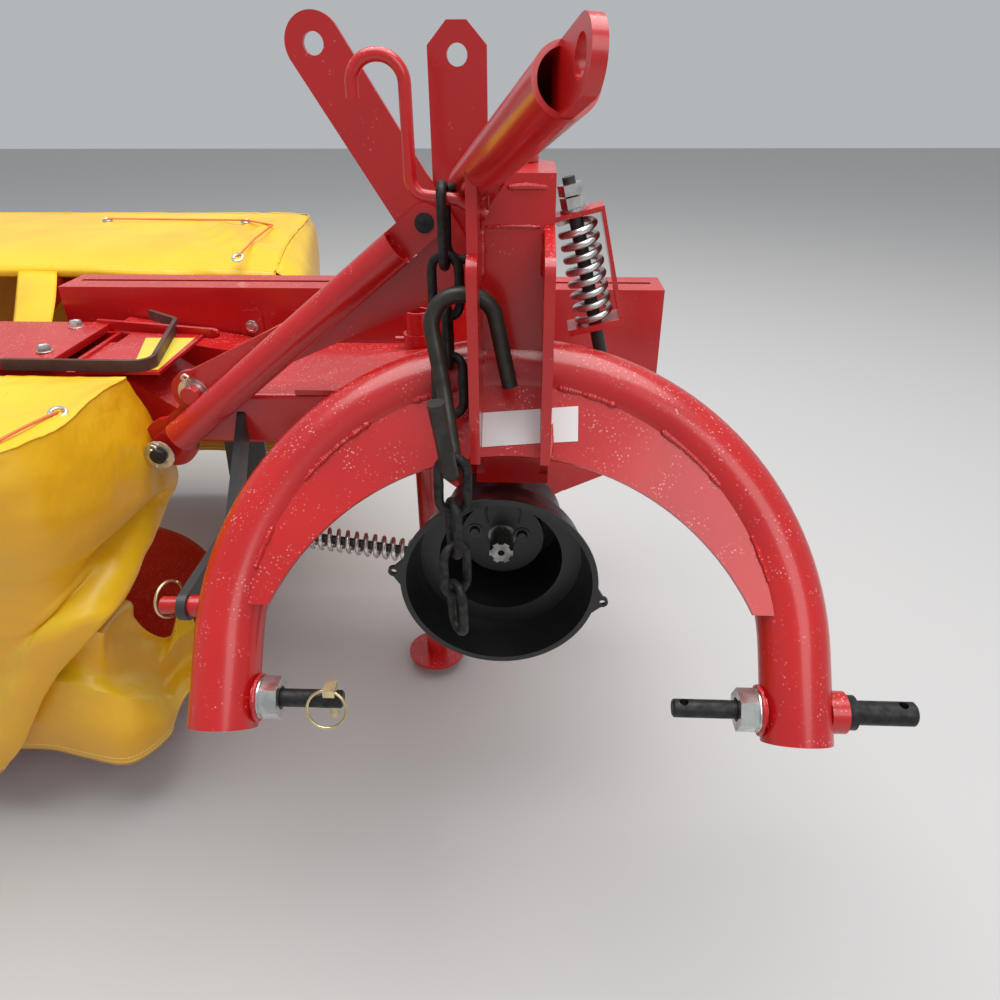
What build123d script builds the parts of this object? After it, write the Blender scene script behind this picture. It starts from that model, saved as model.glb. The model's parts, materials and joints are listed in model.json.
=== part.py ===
from build123d import *
import os
from math import cos, radians, sin

os.makedirs("parts", exist_ok=True)

# X runs across the tractor, Y away from it and Z up. The cutting unit hangs out on the -X side.
# The origin is the middle of the line through the two lower hitch pins.
pin_height = 450
ground = -pin_height
running_gap = 0.3

# Hitch arch, a bent tube that leans back from the lower pins
arch_tube = 82.5
arch_wall = 6
arch_radius = 345
arch_straight = 72
leg_tail = 36
arch_lean = 38
gusset_face = 30
gusset_thick = 8
gusset_edge_top = 299
gusset_foot = 112
gusset_foot_x = 290

# Lower hitch pins
shoulder_span = 825
pin_dia = 28.7
pin_reach = 72
pin_flange_dia = 41
pin_flange = 12
inner_pin_dia = 22
inner_pin_tip = 199
lynch_hole = 11
nut_flats = 46
nut_height = 22
washer_dia = 52
washer_thick = 4
collar_dia = 50

# Mast channel above the arch and the king pin post behind it
cheek_span = 96
cheek_thick = 12
cheek_front = 140
cheek_low = 252
cheek_high = 489
channel_back = 235
channel_top = 511
plate_thick = 8
top_link_bore = 25.5
top_link_y = 190
top_link_z = 440.5
king_y = 350
king_dia = 45
cap_thick = 12
cap_top = 566
side_rear = 372
cap_left = -10
cap_radius = 38
band_low = 518
lug_low = 176
lug_thick = 14
sleeve_dia = 68
sleeve_wall = 11
head_height = 20

# Lift lever over the mast, and the lift rod from the knee down to the hinge pin
lever_tube = 48.3
lever_wall = 4
eye_thick = 10
eye_width = 46
tube_back = 46
knee_x = -118
knee_z = 492
knee_pin = 25
rod_eye_y = 358
rod_forward = 15
lever_rear = (-64, 326, 536)
lever_front = (54, -150, 675)
saddle_y = 186

# Carrier beam and its brackets
beam_front = 381
beam_rear = 633
beam_left = -500
beam_right = -64
beam_top = 240
beam_height = 82
beam_wall = 6
arm_y = 377
arm_thick = 8
strap_y = 369
strap_thick = 8
strap_width = 68
hinge_x = -538
hinge_z = 158
hinge_pin = 30

# Belt guard behind the beam
guard_front = 748
guard_rear = 846
guard_top = 305
guard_left = -880
guard_right = 268
guard_wall = 3
slot_gap = 12
input_x = -16
input_z = 50

# Input shaft and its bell shaped guard
stub_dia = 34.9
stub_root = 28.9
stub_face = 250
drive_radius = 22
spline_count = 6
bell_rim_y = 170
bell_rim = 131
bell_step_y = 238
bell_step = 119
bell_back_y = 350
bell_body = 90
bell_wall = 3
nose_y = 292
nose_radius = 62

# Stand
stand_x = -172
stand_y = 602
stand_tube = 42.4
stand_wall = 4
stand_sleeve = 52
stand_top = 306
foot_dia = 120
foot_thick = 8

# Cutting unit
drum_y = 556
drum_x = -1045
drum_pitch = 825
drum_shell = 158
skirt_radius = 198
dish_radius = 395
blade_reach = 425
dish_rim = -345
dish_low = -352
shaft_radius = 32
skid_shaft = 20
knife_thick = 4
housing_width = 190
housing_low = 168
housing_top = 250
housing_right = -720
hinge_cover_z = 251
skid_radius = 210
frame_tube = 33.7
frame_wall = 3
cover_right = -606
cover_left = -2320
cover_front = 96
cover_split = 398
cover_back_start = 880
cover_rear = 1400
cover_top = 262
rear_top = 330
hem = -338
cloth = 6

# Relief spring beside the post
relief_y = 330
relief_wire = 9
relief_coil = 52


def keep(builder, name):
    builder.part.label = name
    export_step(builder.part, "parts/" + name + ".step")


def xz(y):
    return Plane(origin=(0, y, 0), x_dir=(1, 0, 0), z_dir=(0, -1, 0))


def yz(x):
    return Plane(origin=(x, 0, 0), x_dir=(0, 1, 0), z_dir=(1, 0, 0))


# Hitch arch
lean = radians(arch_lean)
arch_plane = Plane(origin=(0, 0, 0), x_dir=(1, 0, 0), z_dir=(0, -cos(lean), sin(lean)))
with BuildPart() as hitch_arch:
    with BuildLine(arch_plane) as arch_path:
        Line((-arch_radius, -leg_tail), (-arch_radius, arch_straight))
        crown = CenterArc((0, arch_straight), arch_radius, 180, -180)
        Line(crown @ 1, (arch_radius, -leg_tail))
    with BuildSketch(Plane(origin=arch_path.line @ 0, z_dir=arch_path.line % 0)):
        Circle(arch_tube / 2)
        Circle(arch_tube / 2 - arch_wall, mode=Mode.SUBTRACT)
    sweep()
    leg_outer = arch_radius + arch_tube / 2
    leg_inner = arch_radius - arch_tube / 2
    for side in (-1, 1):
        with BuildSketch(yz(side * (leg_inner + arch_wall / 2))):
            Circle(collar_dia / 2 - 3)
        extrude(amount=-side * (arch_wall / 2 + 3))
    with BuildSketch(yz(leg_outer - arch_wall)):
        Circle(collar_dia / 2)
    extrude(amount=shoulder_span / 2 - pin_flange - leg_outer + arch_wall)
    for side in (-1, 1):
        with BuildSketch(yz(side * (leg_inner - arch_wall))):
            Circle(pin_dia / 2)
        extrude(amount=side * 2 * arch_tube, mode=Mode.SUBTRACT)
keep(hitch_arch, "hitch_arch")

# Hitch pins: the right one steps down through its leg, the left one has only its inner end
nut_face = leg_inner - 3
nut_end = nut_face - washer_thick - nut_height
shoulder = shoulder_span / 2
pin_sunk = 2
with BuildPart() as hitch_pins:
    steps = (
        # side, start, end, radius
        (1, shoulder, shoulder + pin_reach, pin_dia / 2),
        (1, shoulder - pin_flange, shoulder, pin_flange_dia / 2),
        (1, nut_end, shoulder - pin_flange, pin_dia / 2 - running_gap / 2),
        (1, inner_pin_tip, nut_end, inner_pin_dia / 2),
        (-1, nut_end, leg_outer - pin_sunk, pin_dia / 2 - running_gap / 2),
        (-1, inner_pin_tip, nut_end, inner_pin_dia / 2),
    )
    for side, start, end, radius in steps:
        with BuildSketch(yz(side * start)):
            Circle(radius)
        extrude(amount=side * (end - start))
    for place in (-inner_pin_tip - 13, inner_pin_tip + 13, shoulder + pin_reach - 16):
        with BuildSketch(Plane.XY.offset(-pin_dia)):
            with Locations((place, 0)):
                Circle(lynch_hole / 2)
        extrude(amount=2 * pin_dia, mode=Mode.SUBTRACT)
    tips = hitch_pins.edges().filter_by(GeomType.CIRCLE).filter_by(
        lambda edge: abs(abs(edge.center().X) - shoulder - pin_reach) < 0.01
        or abs(abs(edge.center().X) - inner_pin_tip) < 0.01)
    chamfer(tips, 2)
keep(hitch_pins, "hitch_pins")

# Nuts and washers that hold the pins
with BuildPart() as pin_nuts:
    for side in (-1, 1):
        with BuildSketch(yz(side * nut_face)):
            Circle(washer_dia / 2)
            Circle(pin_dia / 2, mode=Mode.SUBTRACT)
        extrude(amount=-side * washer_thick)
        with BuildSketch(yz(side * (nut_face - washer_thick))):
            RegularPolygon(nut_flats / 2, 6, major_radius=False)
            Circle(pin_dia / 2, mode=Mode.SUBTRACT)
        extrude(amount=-side * nut_height)
keep(pin_nuts, "pin_nuts")

# Lynch pin in the left inner pin, a peg and its spring ring
lynch_x = -(inner_pin_tip + 13)
with BuildPart() as lynch_pin:
    with BuildSketch(Plane.XY.offset(-26)):
        with Locations((lynch_x, 0)):
            Circle(lynch_hole / 2 - running_gap)
    extrude(amount=46)
    with BuildSketch(Plane.XY.offset(15)):
        with Locations((lynch_x, -4)):
            Rectangle(14, 20)
    extrude(amount=10)
    with BuildLine(Plane(origin=(lynch_x - 4, -16, -2), x_dir=(1, 0, 0), z_dir=(0, -0.94, 0.34))) as ring_path:
        CenterArc((0, 0), 24, 0, 360)
    with BuildSketch(Plane(origin=ring_path.line @ 0, z_dir=ring_path.line % 0)):
        Circle(2)
    sweep()
keep(lynch_pin, "lynch_pin")

# Gusset, a crescent plate between the arch and its inner edge
gusset_plane = arch_plane.offset(gusset_face - gusset_thick)
edge_rise = (gusset_edge_top ** 2 - gusset_foot ** 2 - gusset_foot_x ** 2) / (
    2 * (gusset_edge_top - gusset_foot))
edge_radius = gusset_edge_top - edge_rise
with BuildPart() as arch_gusset:
    with BuildSketch(gusset_plane):
        with Locations((0, arch_straight)):
            Circle(arch_radius)
        with Locations((0, edge_rise)):
            Circle(edge_radius, mode=Mode.SUBTRACT)
        with Locations((0, gusset_foot - arch_radius)):
            Rectangle(4 * arch_radius, 2 * arch_radius, mode=Mode.SUBTRACT)
    extrude(amount=gusset_thick)
    with BuildSketch(Plane(origin=arch_path.line @ 0, z_dir=arch_path.line % 0)):
        Circle(arch_tube / 2 + running_gap / 3)
    sweep(path=arch_path.line, mode=Mode.SUBTRACT)
keep(arch_gusset, "arch_gusset")

# Mast channel: two cheeks, a back plate, and a right cheek that runs back beside the king pin
cheek_x = cheek_span / 2
crown_low = channel_back + plate_thick
cheek_corner = (cheek_front, cheek_high)
cheek_round = 20
with BuildPart() as mast_channel:
    with BuildSketch(yz(-cheek_x)) as left_cheek:
        with BuildLine():
            Polyline((cheek_front, cheek_low), cheek_corner, (channel_back, channel_top),
                     (crown_low, channel_top), (crown_low, cheek_low), (cheek_front, cheek_low))
        make_face()
        fillet(left_cheek.vertices().sort_by_distance(cheek_corner)[0], cheek_round)
    extrude(amount=cheek_thick)
    with BuildSketch(yz(cheek_x - cheek_thick)) as right_cheek:
        with BuildLine():
            Polyline((cheek_front, cheek_low), cheek_corner, (channel_back, channel_top),
                     (channel_back, cap_top - cap_thick), (side_rear, cap_top - cap_thick),
                     (side_rear, lug_low), (crown_low, lug_low), (crown_low, cheek_low),
                     (cheek_front, cheek_low))
        make_face()
        fillet(right_cheek.vertices().sort_by_distance(cheek_corner)[0], cheek_round)
    extrude(amount=cheek_thick)
    with BuildSketch(xz(channel_back + plate_thick)):
        with BuildLine():
            Polyline((-cheek_x + cheek_thick - 1, lug_low), (-cheek_x + cheek_thick - 1, band_low),
                     (cap_left, cap_top - cap_thick), (cheek_x - cheek_thick + 1, cap_top - cap_thick),
                     (cheek_x - cheek_thick + 1, lug_low), (-cheek_x + cheek_thick - 1, lug_low))
        make_face()
    extrude(amount=plate_thick)
    with BuildSketch(Plane.XY.offset(cap_top - cap_thick)):
        with Locations(((cheek_x + cap_left) / 2, (channel_back + king_y) / 2)):
            Rectangle(cheek_x - cap_left, king_y - channel_back)
        with Locations((0, king_y)):
            Circle(cap_radius)
            Circle(king_dia / 2, mode=Mode.SUBTRACT)
    extrude(amount=cap_thick)
    with BuildSketch(Plane.XY.offset(lug_low)):
        with Locations((0, (channel_back + king_y) / 2)):
            Rectangle(cheek_span, king_y - channel_back)
        with Locations((0, king_y)):
            Circle(cheek_x)
            Circle(king_dia / 2, mode=Mode.SUBTRACT)
    extrude(amount=lug_thick)
    with BuildSketch(yz(-cheek_span)):
        with Locations((top_link_y, top_link_z)):
            Circle(top_link_bore / 2)
    extrude(amount=2 * cheek_span, mode=Mode.SUBTRACT)
    with BuildSketch(Plane(origin=arch_path.line @ 0, z_dir=arch_path.line % 0)):
        Circle(arch_tube / 2 + running_gap / 3)
    sweep(path=arch_path.line, mode=Mode.SUBTRACT)
    with BuildSketch(gusset_plane.offset(-running_gap / 3)):
        with Locations((0, arch_straight)):
            Circle(arch_radius)
        with Locations((0, edge_rise)):
            Circle(edge_radius - running_gap / 3, mode=Mode.SUBTRACT)
    extrude(amount=gusset_thick + 2 * running_gap / 3, mode=Mode.SUBTRACT)
keep(mast_channel, "mast_channel")

# King pin with its head above the cap and a collar under the lug
with BuildPart() as king_pin:
    king_steps = (
        (lug_low - 16, lug_low - 1, king_dia / 2 + 8),
        (lug_low - 1, cap_top + 1, king_dia / 2 - running_gap),
        (cap_top + 1, cap_top + head_height, king_dia / 2 + 6),
    )
    for low, high, radius in king_steps:
        with BuildSketch(Plane.XY.offset(low)):
            with Locations((0, king_y)):
                Circle(radius)
        extrude(amount=high - low)
    head = king_pin.edges().filter_by(GeomType.CIRCLE).sort_by(Axis.Z)[-1]
    chamfer(head, 3)
keep(king_pin, "king_pin")

# Lift lever and lift rod, tubes with flat eyes welded into both ends
links = (
    # name, low eye, high eye, direction of the pins, shift of the tube off the eyes
    ("lift_lever", lever_rear, lever_front, (1, 0, 0), (0, 0, 0)),
    ("lift_rod", (hinge_x, rod_eye_y, hinge_z), (knee_x, rod_eye_y, knee_z), (0, 1, 0),
     (0, -rod_forward, 0)),
)
tongue_in = 20
for name, low_eye, high_eye, pin_way, shift in links:
    low = Vector(*low_eye)
    high = Vector(*high_eye)
    way = (high - low).normalized()
    flat = (Vector(*pin_way) - way * way.dot(Vector(*pin_way))).normalized()
    tube_start = low + way * tube_back + Vector(*shift)
    tube_length = (high - low).length - 2 * tube_back
    with BuildPart() as link:
        with BuildSketch(Plane(origin=tube_start, z_dir=way)):
            Circle(lever_tube / 2)
        extrude(amount=tube_length)
        with BuildSketch(Plane(origin=tube_start + way * lever_wall, z_dir=way)):
            Circle(lever_tube / 2 - lever_wall)
        extrude(amount=tube_length, mode=Mode.SUBTRACT)
        for eye, outward in ((low, way), (high, way * -1)):
            with BuildSketch(Plane(origin=eye - flat * eye_thick / 2, x_dir=outward, z_dir=flat)):
                Circle(eye_width / 2)
                with Locations(((tube_back + tongue_in) / 2, 0)):
                    Rectangle(tube_back + tongue_in, eye_width)
            extrude(amount=eye_thick)
            with BuildSketch(Plane(origin=eye - flat * eye_thick, x_dir=way, z_dir=flat)):
                Circle(knee_pin / 2 + running_gap)
            extrude(amount=2 * eye_thick, mode=Mode.SUBTRACT)
    keep(link, name)

# Saddle on the left cheek that carries the lift lever
lever_way = (Vector(*lever_front) - Vector(*lever_rear)).normalized()
reach = (saddle_y - lever_rear[1]) / lever_way.Y
saddle_at = Vector(*lever_rear) + lever_way * reach
with BuildPart() as lever_saddle:
    with BuildSketch(yz(-cheek_x)):
        Polygon((saddle_y - 24, saddle_at.Z), (saddle_y - 24, 480), (saddle_y + 20, 480),
                (saddle_y + 20, saddle_at.Z), align=None)
    extrude(amount=cheek_thick)
    with BuildSketch(Plane(origin=saddle_at - lever_way * 200, z_dir=lever_way)):
        Circle(lever_tube / 2 + running_gap / 3)
    extrude(amount=400, mode=Mode.SUBTRACT)
    with BuildSketch(yz(-cheek_span)):
        Polygon((cheek_front, cheek_low), (cheek_front, cheek_high + 0.1),
                (channel_back, channel_top + 0.1), (channel_back + 40, channel_top + 0.1),
                (channel_back + 40, cheek_low), align=None)
    extrude(amount=2 * cheek_span, mode=Mode.SUBTRACT)
keep(lever_saddle, "lever_saddle")

# Rod hook for the chain, bent from round bar and welded to the band plate
hanger_dia = 14
hanger_y = 227.6
hanger_low = 539
hanger_route = ((-170, hanger_y, 640), (-170, hanger_y, 680), (-114, hanger_y, 680), (-114, hanger_y, 545),
                (-62, hanger_y, hanger_low), (-30, hanger_y, 522))
with BuildPart() as chain_hanger:
    with BuildLine() as hanger_path:
        FilletPolyline(*hanger_route, radius=(27, 27, 20, 10))
    with BuildSketch(Plane(origin=hanger_path.line @ 0, z_dir=hanger_path.line % 0)):
        Circle(hanger_dia / 2)
    sweep()
    with BuildSketch(xz(channel_back - running_gap / 3)):
        Rectangle(cheek_span, 4 * channel_top)
    extrude(amount=-40, mode=Mode.SUBTRACT)
keep(chain_hanger, "chain_hanger")

# Safety chain, oval links hung over the rod hook, and its tail on the bar hook's lower end
wire = 12
link_inner = 60
first_inner = 76
link_wide = 45
slack = 0.4
bend_ease = 15
bend_radius = (link_wide - wire) / 2
hook_dia = 19
hook_low = 265
run_top = Vector(-79, hanger_y, hanger_low + 2 + (hanger_dia + wire) / 2 + slack)
tail_top = Vector(-65, 100, hook_low + (hook_dia + wire) / 2 + slack)
chain_rows = (
    # start of a hanging run, inner length, direction, turn about it away from facing the tractor
    (run_top, first_inner, (0, 0, -1), 90),
    (None, link_inner, (0, -0.02, -1), 10),
    (None, link_inner, (0.05, -0.42, -0.91), 90),
    (None, link_inner, (0.04, -0.42, -0.91), 4),
    (tail_top, link_inner, (-0.02, 0, -1), 0),
    (None, link_inner, (0, 0, -1), 68),
    (None, link_inner, (0, 0, -1), -38),
    (None, link_inner, (0.02, 0, -1), 58),
)
with BuildPart() as safety_chain:
    for start, inner, direction, turn in chain_rows:
        way = Vector(*direction).normalized()
        top = start
        if start is None:
            ease = bend_ease * (1 - way.dot(last_way))
            top = low_end - (way + last_way).normalized() * (wire + slack + ease)
        low_end = top + way * (inner + wire)
        last_way = way
        facing = (Vector(1, 0, 0) - way * way.X).normalized().rotate(Axis((0, 0, 0), way), turn)
        half = (inner + wire) / 2 - bend_radius
        with BuildLine(Plane(origin=(top + low_end) / 2, x_dir=way, z_dir=way.cross(facing))) as oval:
            Line((-half, -bend_radius), (half, -bend_radius))
            ThreePointArc((half, -bend_radius), (half + bend_radius, 0), (half, bend_radius))
            Line((half, bend_radius), (-half, bend_radius))
            ThreePointArc((-half, bend_radius), (-half - bend_radius, 0), (-half, -bend_radius))
        with BuildSketch(Plane(origin=oval.line @ 0, z_dir=oval.line % 0)):
            RegularPolygon(wire / 2, 8)
        sweep(path=oval.line)
keep(safety_chain, "safety_chain")

# Hook bent from round bar, hung through the left top link hole with its other end turned up
hook_top = top_link_z + 3.1
hook_route = ((-2, top_link_y - 2, 334), (-24, top_link_y, hook_top), (-99, top_link_y, hook_top),
              (-79, 158, 343), (-64.5, 115.5, hook_low), (-65.5, 81.5, hook_low), (-77, 69, 361))
with BuildPart() as chain_hook:
    with BuildLine() as hook_path:
        FilletPolyline(*hook_route, radius=(34, 34, 60, 16.5, 16.5))
    with BuildSketch(Plane(origin=hook_path.line @ 0, z_dir=hook_path.line % 0)):
        Circle(hook_dia / 2)
    sweep()
keep(chain_hook, "chain_hook")

# Relief spring assembly beside the post
relief_top = Vector(66, relief_y, 545)
relief_end = Vector(132, relief_y, 268)
relief_way = (relief_end - relief_top).normalized()
upper_seat = 34
lower_seat = 176
bracket_width = 38


relief_turns = 8
relief_length = lower_seat - upper_seat - 6 - relief_wire - 2 * running_gap
relief_start = relief_top + relief_way * (upper_seat + 6 + relief_wire / 2 + running_gap)
with BuildPart() as relief_spring:
    with BuildLine() as relief_helix:
        Helix(pitch=relief_length / relief_turns, height=relief_length, radius=(relief_coil - relief_wire) / 2,
              center=relief_start, direction=relief_way)
    with BuildSketch(Plane(origin=relief_helix.line @ 0, z_dir=relief_helix.line % 0)):
        Circle(relief_wire / 2)
    sweep()
keep(relief_spring, "relief_spring")

with BuildPart() as relief_rod:
    rod_plane = Plane(origin=relief_top - relief_way * 6, z_dir=relief_way)
    with BuildSketch(rod_plane):
        Circle(8)
    extrude(amount=upper_seat + 6)
    with BuildSketch(Plane(origin=relief_top + relief_way * upper_seat, z_dir=relief_way)):
        Circle(9)
    extrude(amount=(relief_end - relief_top).length - upper_seat - 20)
    with BuildSketch(Plane(origin=relief_end - Vector(0, 8, 0), z_dir=(0, 1, 0))):
        Circle(22)
        Circle(10.3, mode=Mode.SUBTRACT)
    extrude(amount=16)
keep(relief_rod, "relief_rod")

with BuildPart() as relief_nuts:
    for low in (2, 17):
        with BuildSketch(Plane(origin=relief_top + relief_way * low, z_dir=relief_way)):
            RegularPolygon(13.5, 6, major_radius=False)
            Circle(8, mode=Mode.SUBTRACT)
        extrude(amount=13)
    with BuildSketch(Plane(origin=relief_top + relief_way * (upper_seat - 3.8), z_dir=relief_way)):
        Circle(18)
        Circle(8, mode=Mode.SUBTRACT)
    extrude(amount=3.5)
keep(relief_nuts, "relief_nuts")

strap_off = 34
with BuildPart() as relief_bracket:
    for low, thick, width in ((upper_seat, 6, 0), (lower_seat, 8, 10)):
        with BuildSketch(Plane(origin=relief_top + relief_way * low, x_dir=(0, 1, 0), z_dir=relief_way)):
            Rectangle(bracket_width + width, 2 * strap_off + 5)
            Circle(9.3, mode=Mode.SUBTRACT)
        extrude(amount=thick)
    side_way = Vector(0, 1, 0).cross(relief_way)
    side_way = side_way if side_way.X > 0 else side_way * -1
    with BuildSketch(Plane(origin=relief_top + relief_way * upper_seat + side_way * strap_off,
                           x_dir=(0, 1, 0), z_dir=relief_way)):
        Rectangle(bracket_width, 5)
    extrude(amount=lower_seat - upper_seat + 8)
    with BuildSketch(yz(cheek_x + running_gap / 3)):
        with Locations((relief_y, 430)):
            Rectangle(400, 800)
    extrude(amount=-200, mode=Mode.SUBTRACT)
keep(relief_bracket, "relief_bracket")

with BuildPart() as relief_lug:
    for place in (-14, 14 - 4.7):
        with BuildSketch(xz(relief_y + place + 4.7)):
            with BuildLine():
                Polyline((cheek_x, 232), (cheek_x, 304), (relief_end.X, relief_end.Z + 22))
                ThreePointArc((relief_end.X, relief_end.Z + 22), (relief_end.X + 22, relief_end.Z),
                              (relief_end.X, relief_end.Z - 22))
                Line((relief_end.X, relief_end.Z - 22), (cheek_x, 232))
            make_face()
        extrude(amount=4.7)
    with BuildSketch(xz(relief_y + 20)):
        with Locations((relief_end.X, relief_end.Z)):
            Circle(9.8)
    extrude(amount=40)
keep(relief_lug, "relief_lug")

# Break-away strut, a flat bar from the stub pin on the left leg back to the beam
strut_x = -424
strut_z = 64
strut_front = 94
strut_bend = 270
strut_wide = 38
strut_thick = 12
strut_bore = 8.3
with BuildPart() as latch_strut:
    with BuildSketch(yz(strut_x)):
        with Locations((strut_front, strut_z)):
            Circle(strut_wide / 2)
        with Locations(((strut_front + strut_bend) / 2, strut_z)):
            Rectangle(strut_bend - strut_front, strut_wide)
        Polygon((strut_bend - 10, strut_z - strut_wide / 2), (strut_bend + 14, strut_z - strut_wide / 2),
                (beam_front - 0.1, 168), (beam_front - 0.1, 212), (strut_bend - 10, strut_z + strut_wide / 2),
                align=None)
        with Locations((strut_front, strut_z)):
            Circle(strut_bore, mode=Mode.SUBTRACT)
    extrude(amount=strut_thick)
keep(latch_strut, "latch_strut")

with BuildPart() as strut_pin:
    with BuildSketch(yz(-arch_radius)):
        with Locations((strut_front, strut_z)):
            Circle(14)
    extrude(amount=strut_x + strut_thick + running_gap + arch_radius)
    with BuildSketch(yz(-arch_radius)):
        with Locations((strut_front, strut_z)):
            Circle(strut_bore - running_gap)
    extrude(amount=strut_x - 26 + arch_radius)
    with BuildSketch(Plane(origin=arch_path.line @ 0, z_dir=arch_path.line % 0)):
        Circle(arch_tube / 2 + running_gap / 3)
    sweep(path=arch_path.line, mode=Mode.SUBTRACT)
keep(strut_pin, "strut_pin")

# Swing sleeve on the king pin
sleeve_low = lug_low + lug_thick + 2
sleeve_high = cap_top - cap_thick - 2
with BuildPart() as swing_sleeve:
    with BuildSketch(Plane.XY.offset(sleeve_low)):
        with Locations((0, king_y)):
            Circle(sleeve_dia / 2)
            Circle(sleeve_dia / 2 - sleeve_wall, mode=Mode.SUBTRACT)
    extrude(amount=sleeve_high - sleeve_low)
keep(swing_sleeve, "swing_sleeve")

# Plates that join the sleeve to the beam
bracket_plate = 8
low_plate_z = sleeve_low + 2
hug = sleeve_dia / 2 + running_gap / 3
with BuildPart() as swing_bracket:
    with BuildSketch(Plane.XY.offset(beam_top + running_gap / 3)):
        Polygon((-26, king_y - 30), (-150, beam_front), (-330, beam_front), (-330, beam_front + 120),
                (beam_right - 60, beam_rear - 40), (beam_right - 2, beam_rear - 40),
                (beam_right - 2, king_y + 60), (-24, king_y + 30), align=None)
        with Locations((0, king_y)):
            Circle(hug, mode=Mode.SUBTRACT)
    extrude(amount=bracket_plate)
    with BuildSketch(Plane.XY.offset(low_plate_z)):
        Polygon((-26, king_y - 30), (-150, beam_front - 0.1), (beam_right + 0.1, beam_front - 0.1),
                (beam_right + 0.1, king_y + 60), (-24, king_y + 30), align=None)
        with Locations((0, king_y)):
            Circle(hug, mode=Mode.SUBTRACT)
    extrude(amount=bracket_plate)
    with BuildSketch(Plane.XY.offset(low_plate_z + bracket_plate)):
        Polygon((-26, king_y - 30), (-150, beam_front - 0.1), (-140, beam_front - 0.1),
                (-26, king_y - 20), align=None)
        with Locations((0, king_y)):
            Circle(hug, mode=Mode.SUBTRACT)
    extrude(amount=beam_top + running_gap / 3 - low_plate_z - bracket_plate)
keep(swing_bracket, "swing_bracket")

# Carrier beam, a hollow box open towards the hinge, with two ears for the hinge pin
ear_thick = 12
ear_radius = 40
beam_low = beam_top - beam_height
with BuildPart() as carrier_beam:
    with BuildSketch(yz(beam_left)):
        with Locations(((beam_front + beam_rear) / 2, (beam_top + beam_low) / 2)):
            RectangleRounded(beam_rear - beam_front, beam_height, 8)
    extrude(amount=beam_right - beam_left)
    with BuildSketch(yz(beam_left - 1)):
        with Locations(((beam_front + beam_rear) / 2, (beam_top + beam_low) / 2)):
            Rectangle(beam_rear - beam_front - 2 * beam_wall, beam_height - 2 * beam_wall)
    extrude(amount=beam_right - beam_left + 1 - beam_wall, mode=Mode.SUBTRACT)
    for rear_face in (beam_front + ear_thick, beam_rear):
        with BuildSketch(xz(rear_face)):
            Polygon((beam_left, beam_top - 10), (beam_left, beam_low), (hinge_x + 8, hinge_z - ear_radius + 1),
                    (hinge_x, hinge_z - ear_radius), (hinge_x - ear_radius, hinge_z),
                    (hinge_x, hinge_z + ear_radius), align=None)
            with Locations((hinge_x, hinge_z)):
                Circle(ear_radius)
                Circle(hinge_pin / 2 + running_gap, mode=Mode.SUBTRACT)
        extrude(amount=ear_thick)
    with BuildSketch(Plane.XY.offset(beam_low - 1)):
        with Locations((stand_x, stand_y)):
            Circle(stand_sleeve / 2 + running_gap / 3)
    extrude(amount=beam_height + 2, mode=Mode.SUBTRACT)
keep(carrier_beam, "carrier_beam")

with BuildPart() as hinge_bolt:
    with BuildSketch(xz(beam_rear + 14)):
        with Locations((hinge_x, hinge_z)):
            Circle(hinge_pin / 2)
    extrude(amount=beam_rear + 14 - beam_front + 1)
    with BuildSketch(xz(beam_front)):
        with Locations((hinge_x, hinge_z)):
            Circle(knee_pin / 2)
    extrude(amount=beam_front - (rod_eye_y - eye_thick / 2 - 14))
    with BuildSketch(xz(beam_rear + 10)):
        with Locations((hinge_x, hinge_z)):
            Circle(hinge_pin / 2 + 8)
    extrude(amount=8)
keep(hinge_bolt, "hinge_bolt")

# Tapered arm from the sleeve to the beam's end, and the two mast plates
arm_tip_x = -480
arm_tip_z = 246
with BuildPart() as brace_arm:
    with BuildSketch(xz(arm_y + arm_thick / 2)):
        Polygon((arm_tip_x - 20, arm_tip_z + 24), (-8, 507), (-8, 430), (-400, 262), (-430, arm_tip_z - 26),
                (arm_tip_x, arm_tip_z - 34), align=None)
        with Locations((arm_tip_x, arm_tip_z)):
            Circle(34)
            Circle(hinge_pin / 2 + running_gap / 3, mode=Mode.SUBTRACT)
    extrude(amount=arm_thick)
    with BuildSketch(Plane.XY.offset(sleeve_low)):
        with Locations((0, king_y)):
            Circle(hug)
    extrude(amount=sleeve_high, mode=Mode.SUBTRACT)
keep(brace_arm, "brace_arm")

with BuildPart() as arm_pin:
    with BuildSketch(xz(arm_y + arm_thick / 2 - running_gap / 3)):
        with Locations((arm_tip_x, arm_tip_z)):
            Circle(hinge_pin / 2)
    extrude(amount=14)
    with BuildSketch(xz(arm_y - arm_thick / 2 - running_gap / 3)):
        with Locations((arm_tip_x, arm_tip_z)):
            Circle(23)
    extrude(amount=3)
keep(arm_pin, "arm_pin")

strap_lean = radians(31.5)
strap_way = Vector(-sin(strap_lean), 0, cos(strap_lean))
strap_up = 235
strap_down = 76
with BuildPart() as mast_strap:
    strap_plane = Plane(origin=Vector(knee_x, strap_y + strap_thick / 2, knee_z), x_dir=strap_way,
                        z_dir=(0, -1, 0))
    with BuildSketch(strap_plane):
        with Locations(((strap_up - strap_down) / 2, 0)):
            SlotOverall(strap_up + strap_down + strap_width, strap_width)
        Circle(knee_pin / 2 + running_gap / 3, mode=Mode.SUBTRACT)
        with Locations((strap_up, 0)):
            Circle(knee_pin / 2, mode=Mode.SUBTRACT)
    extrude(amount=strap_thick)
keep(mast_strap, "mast_strap")

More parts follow.
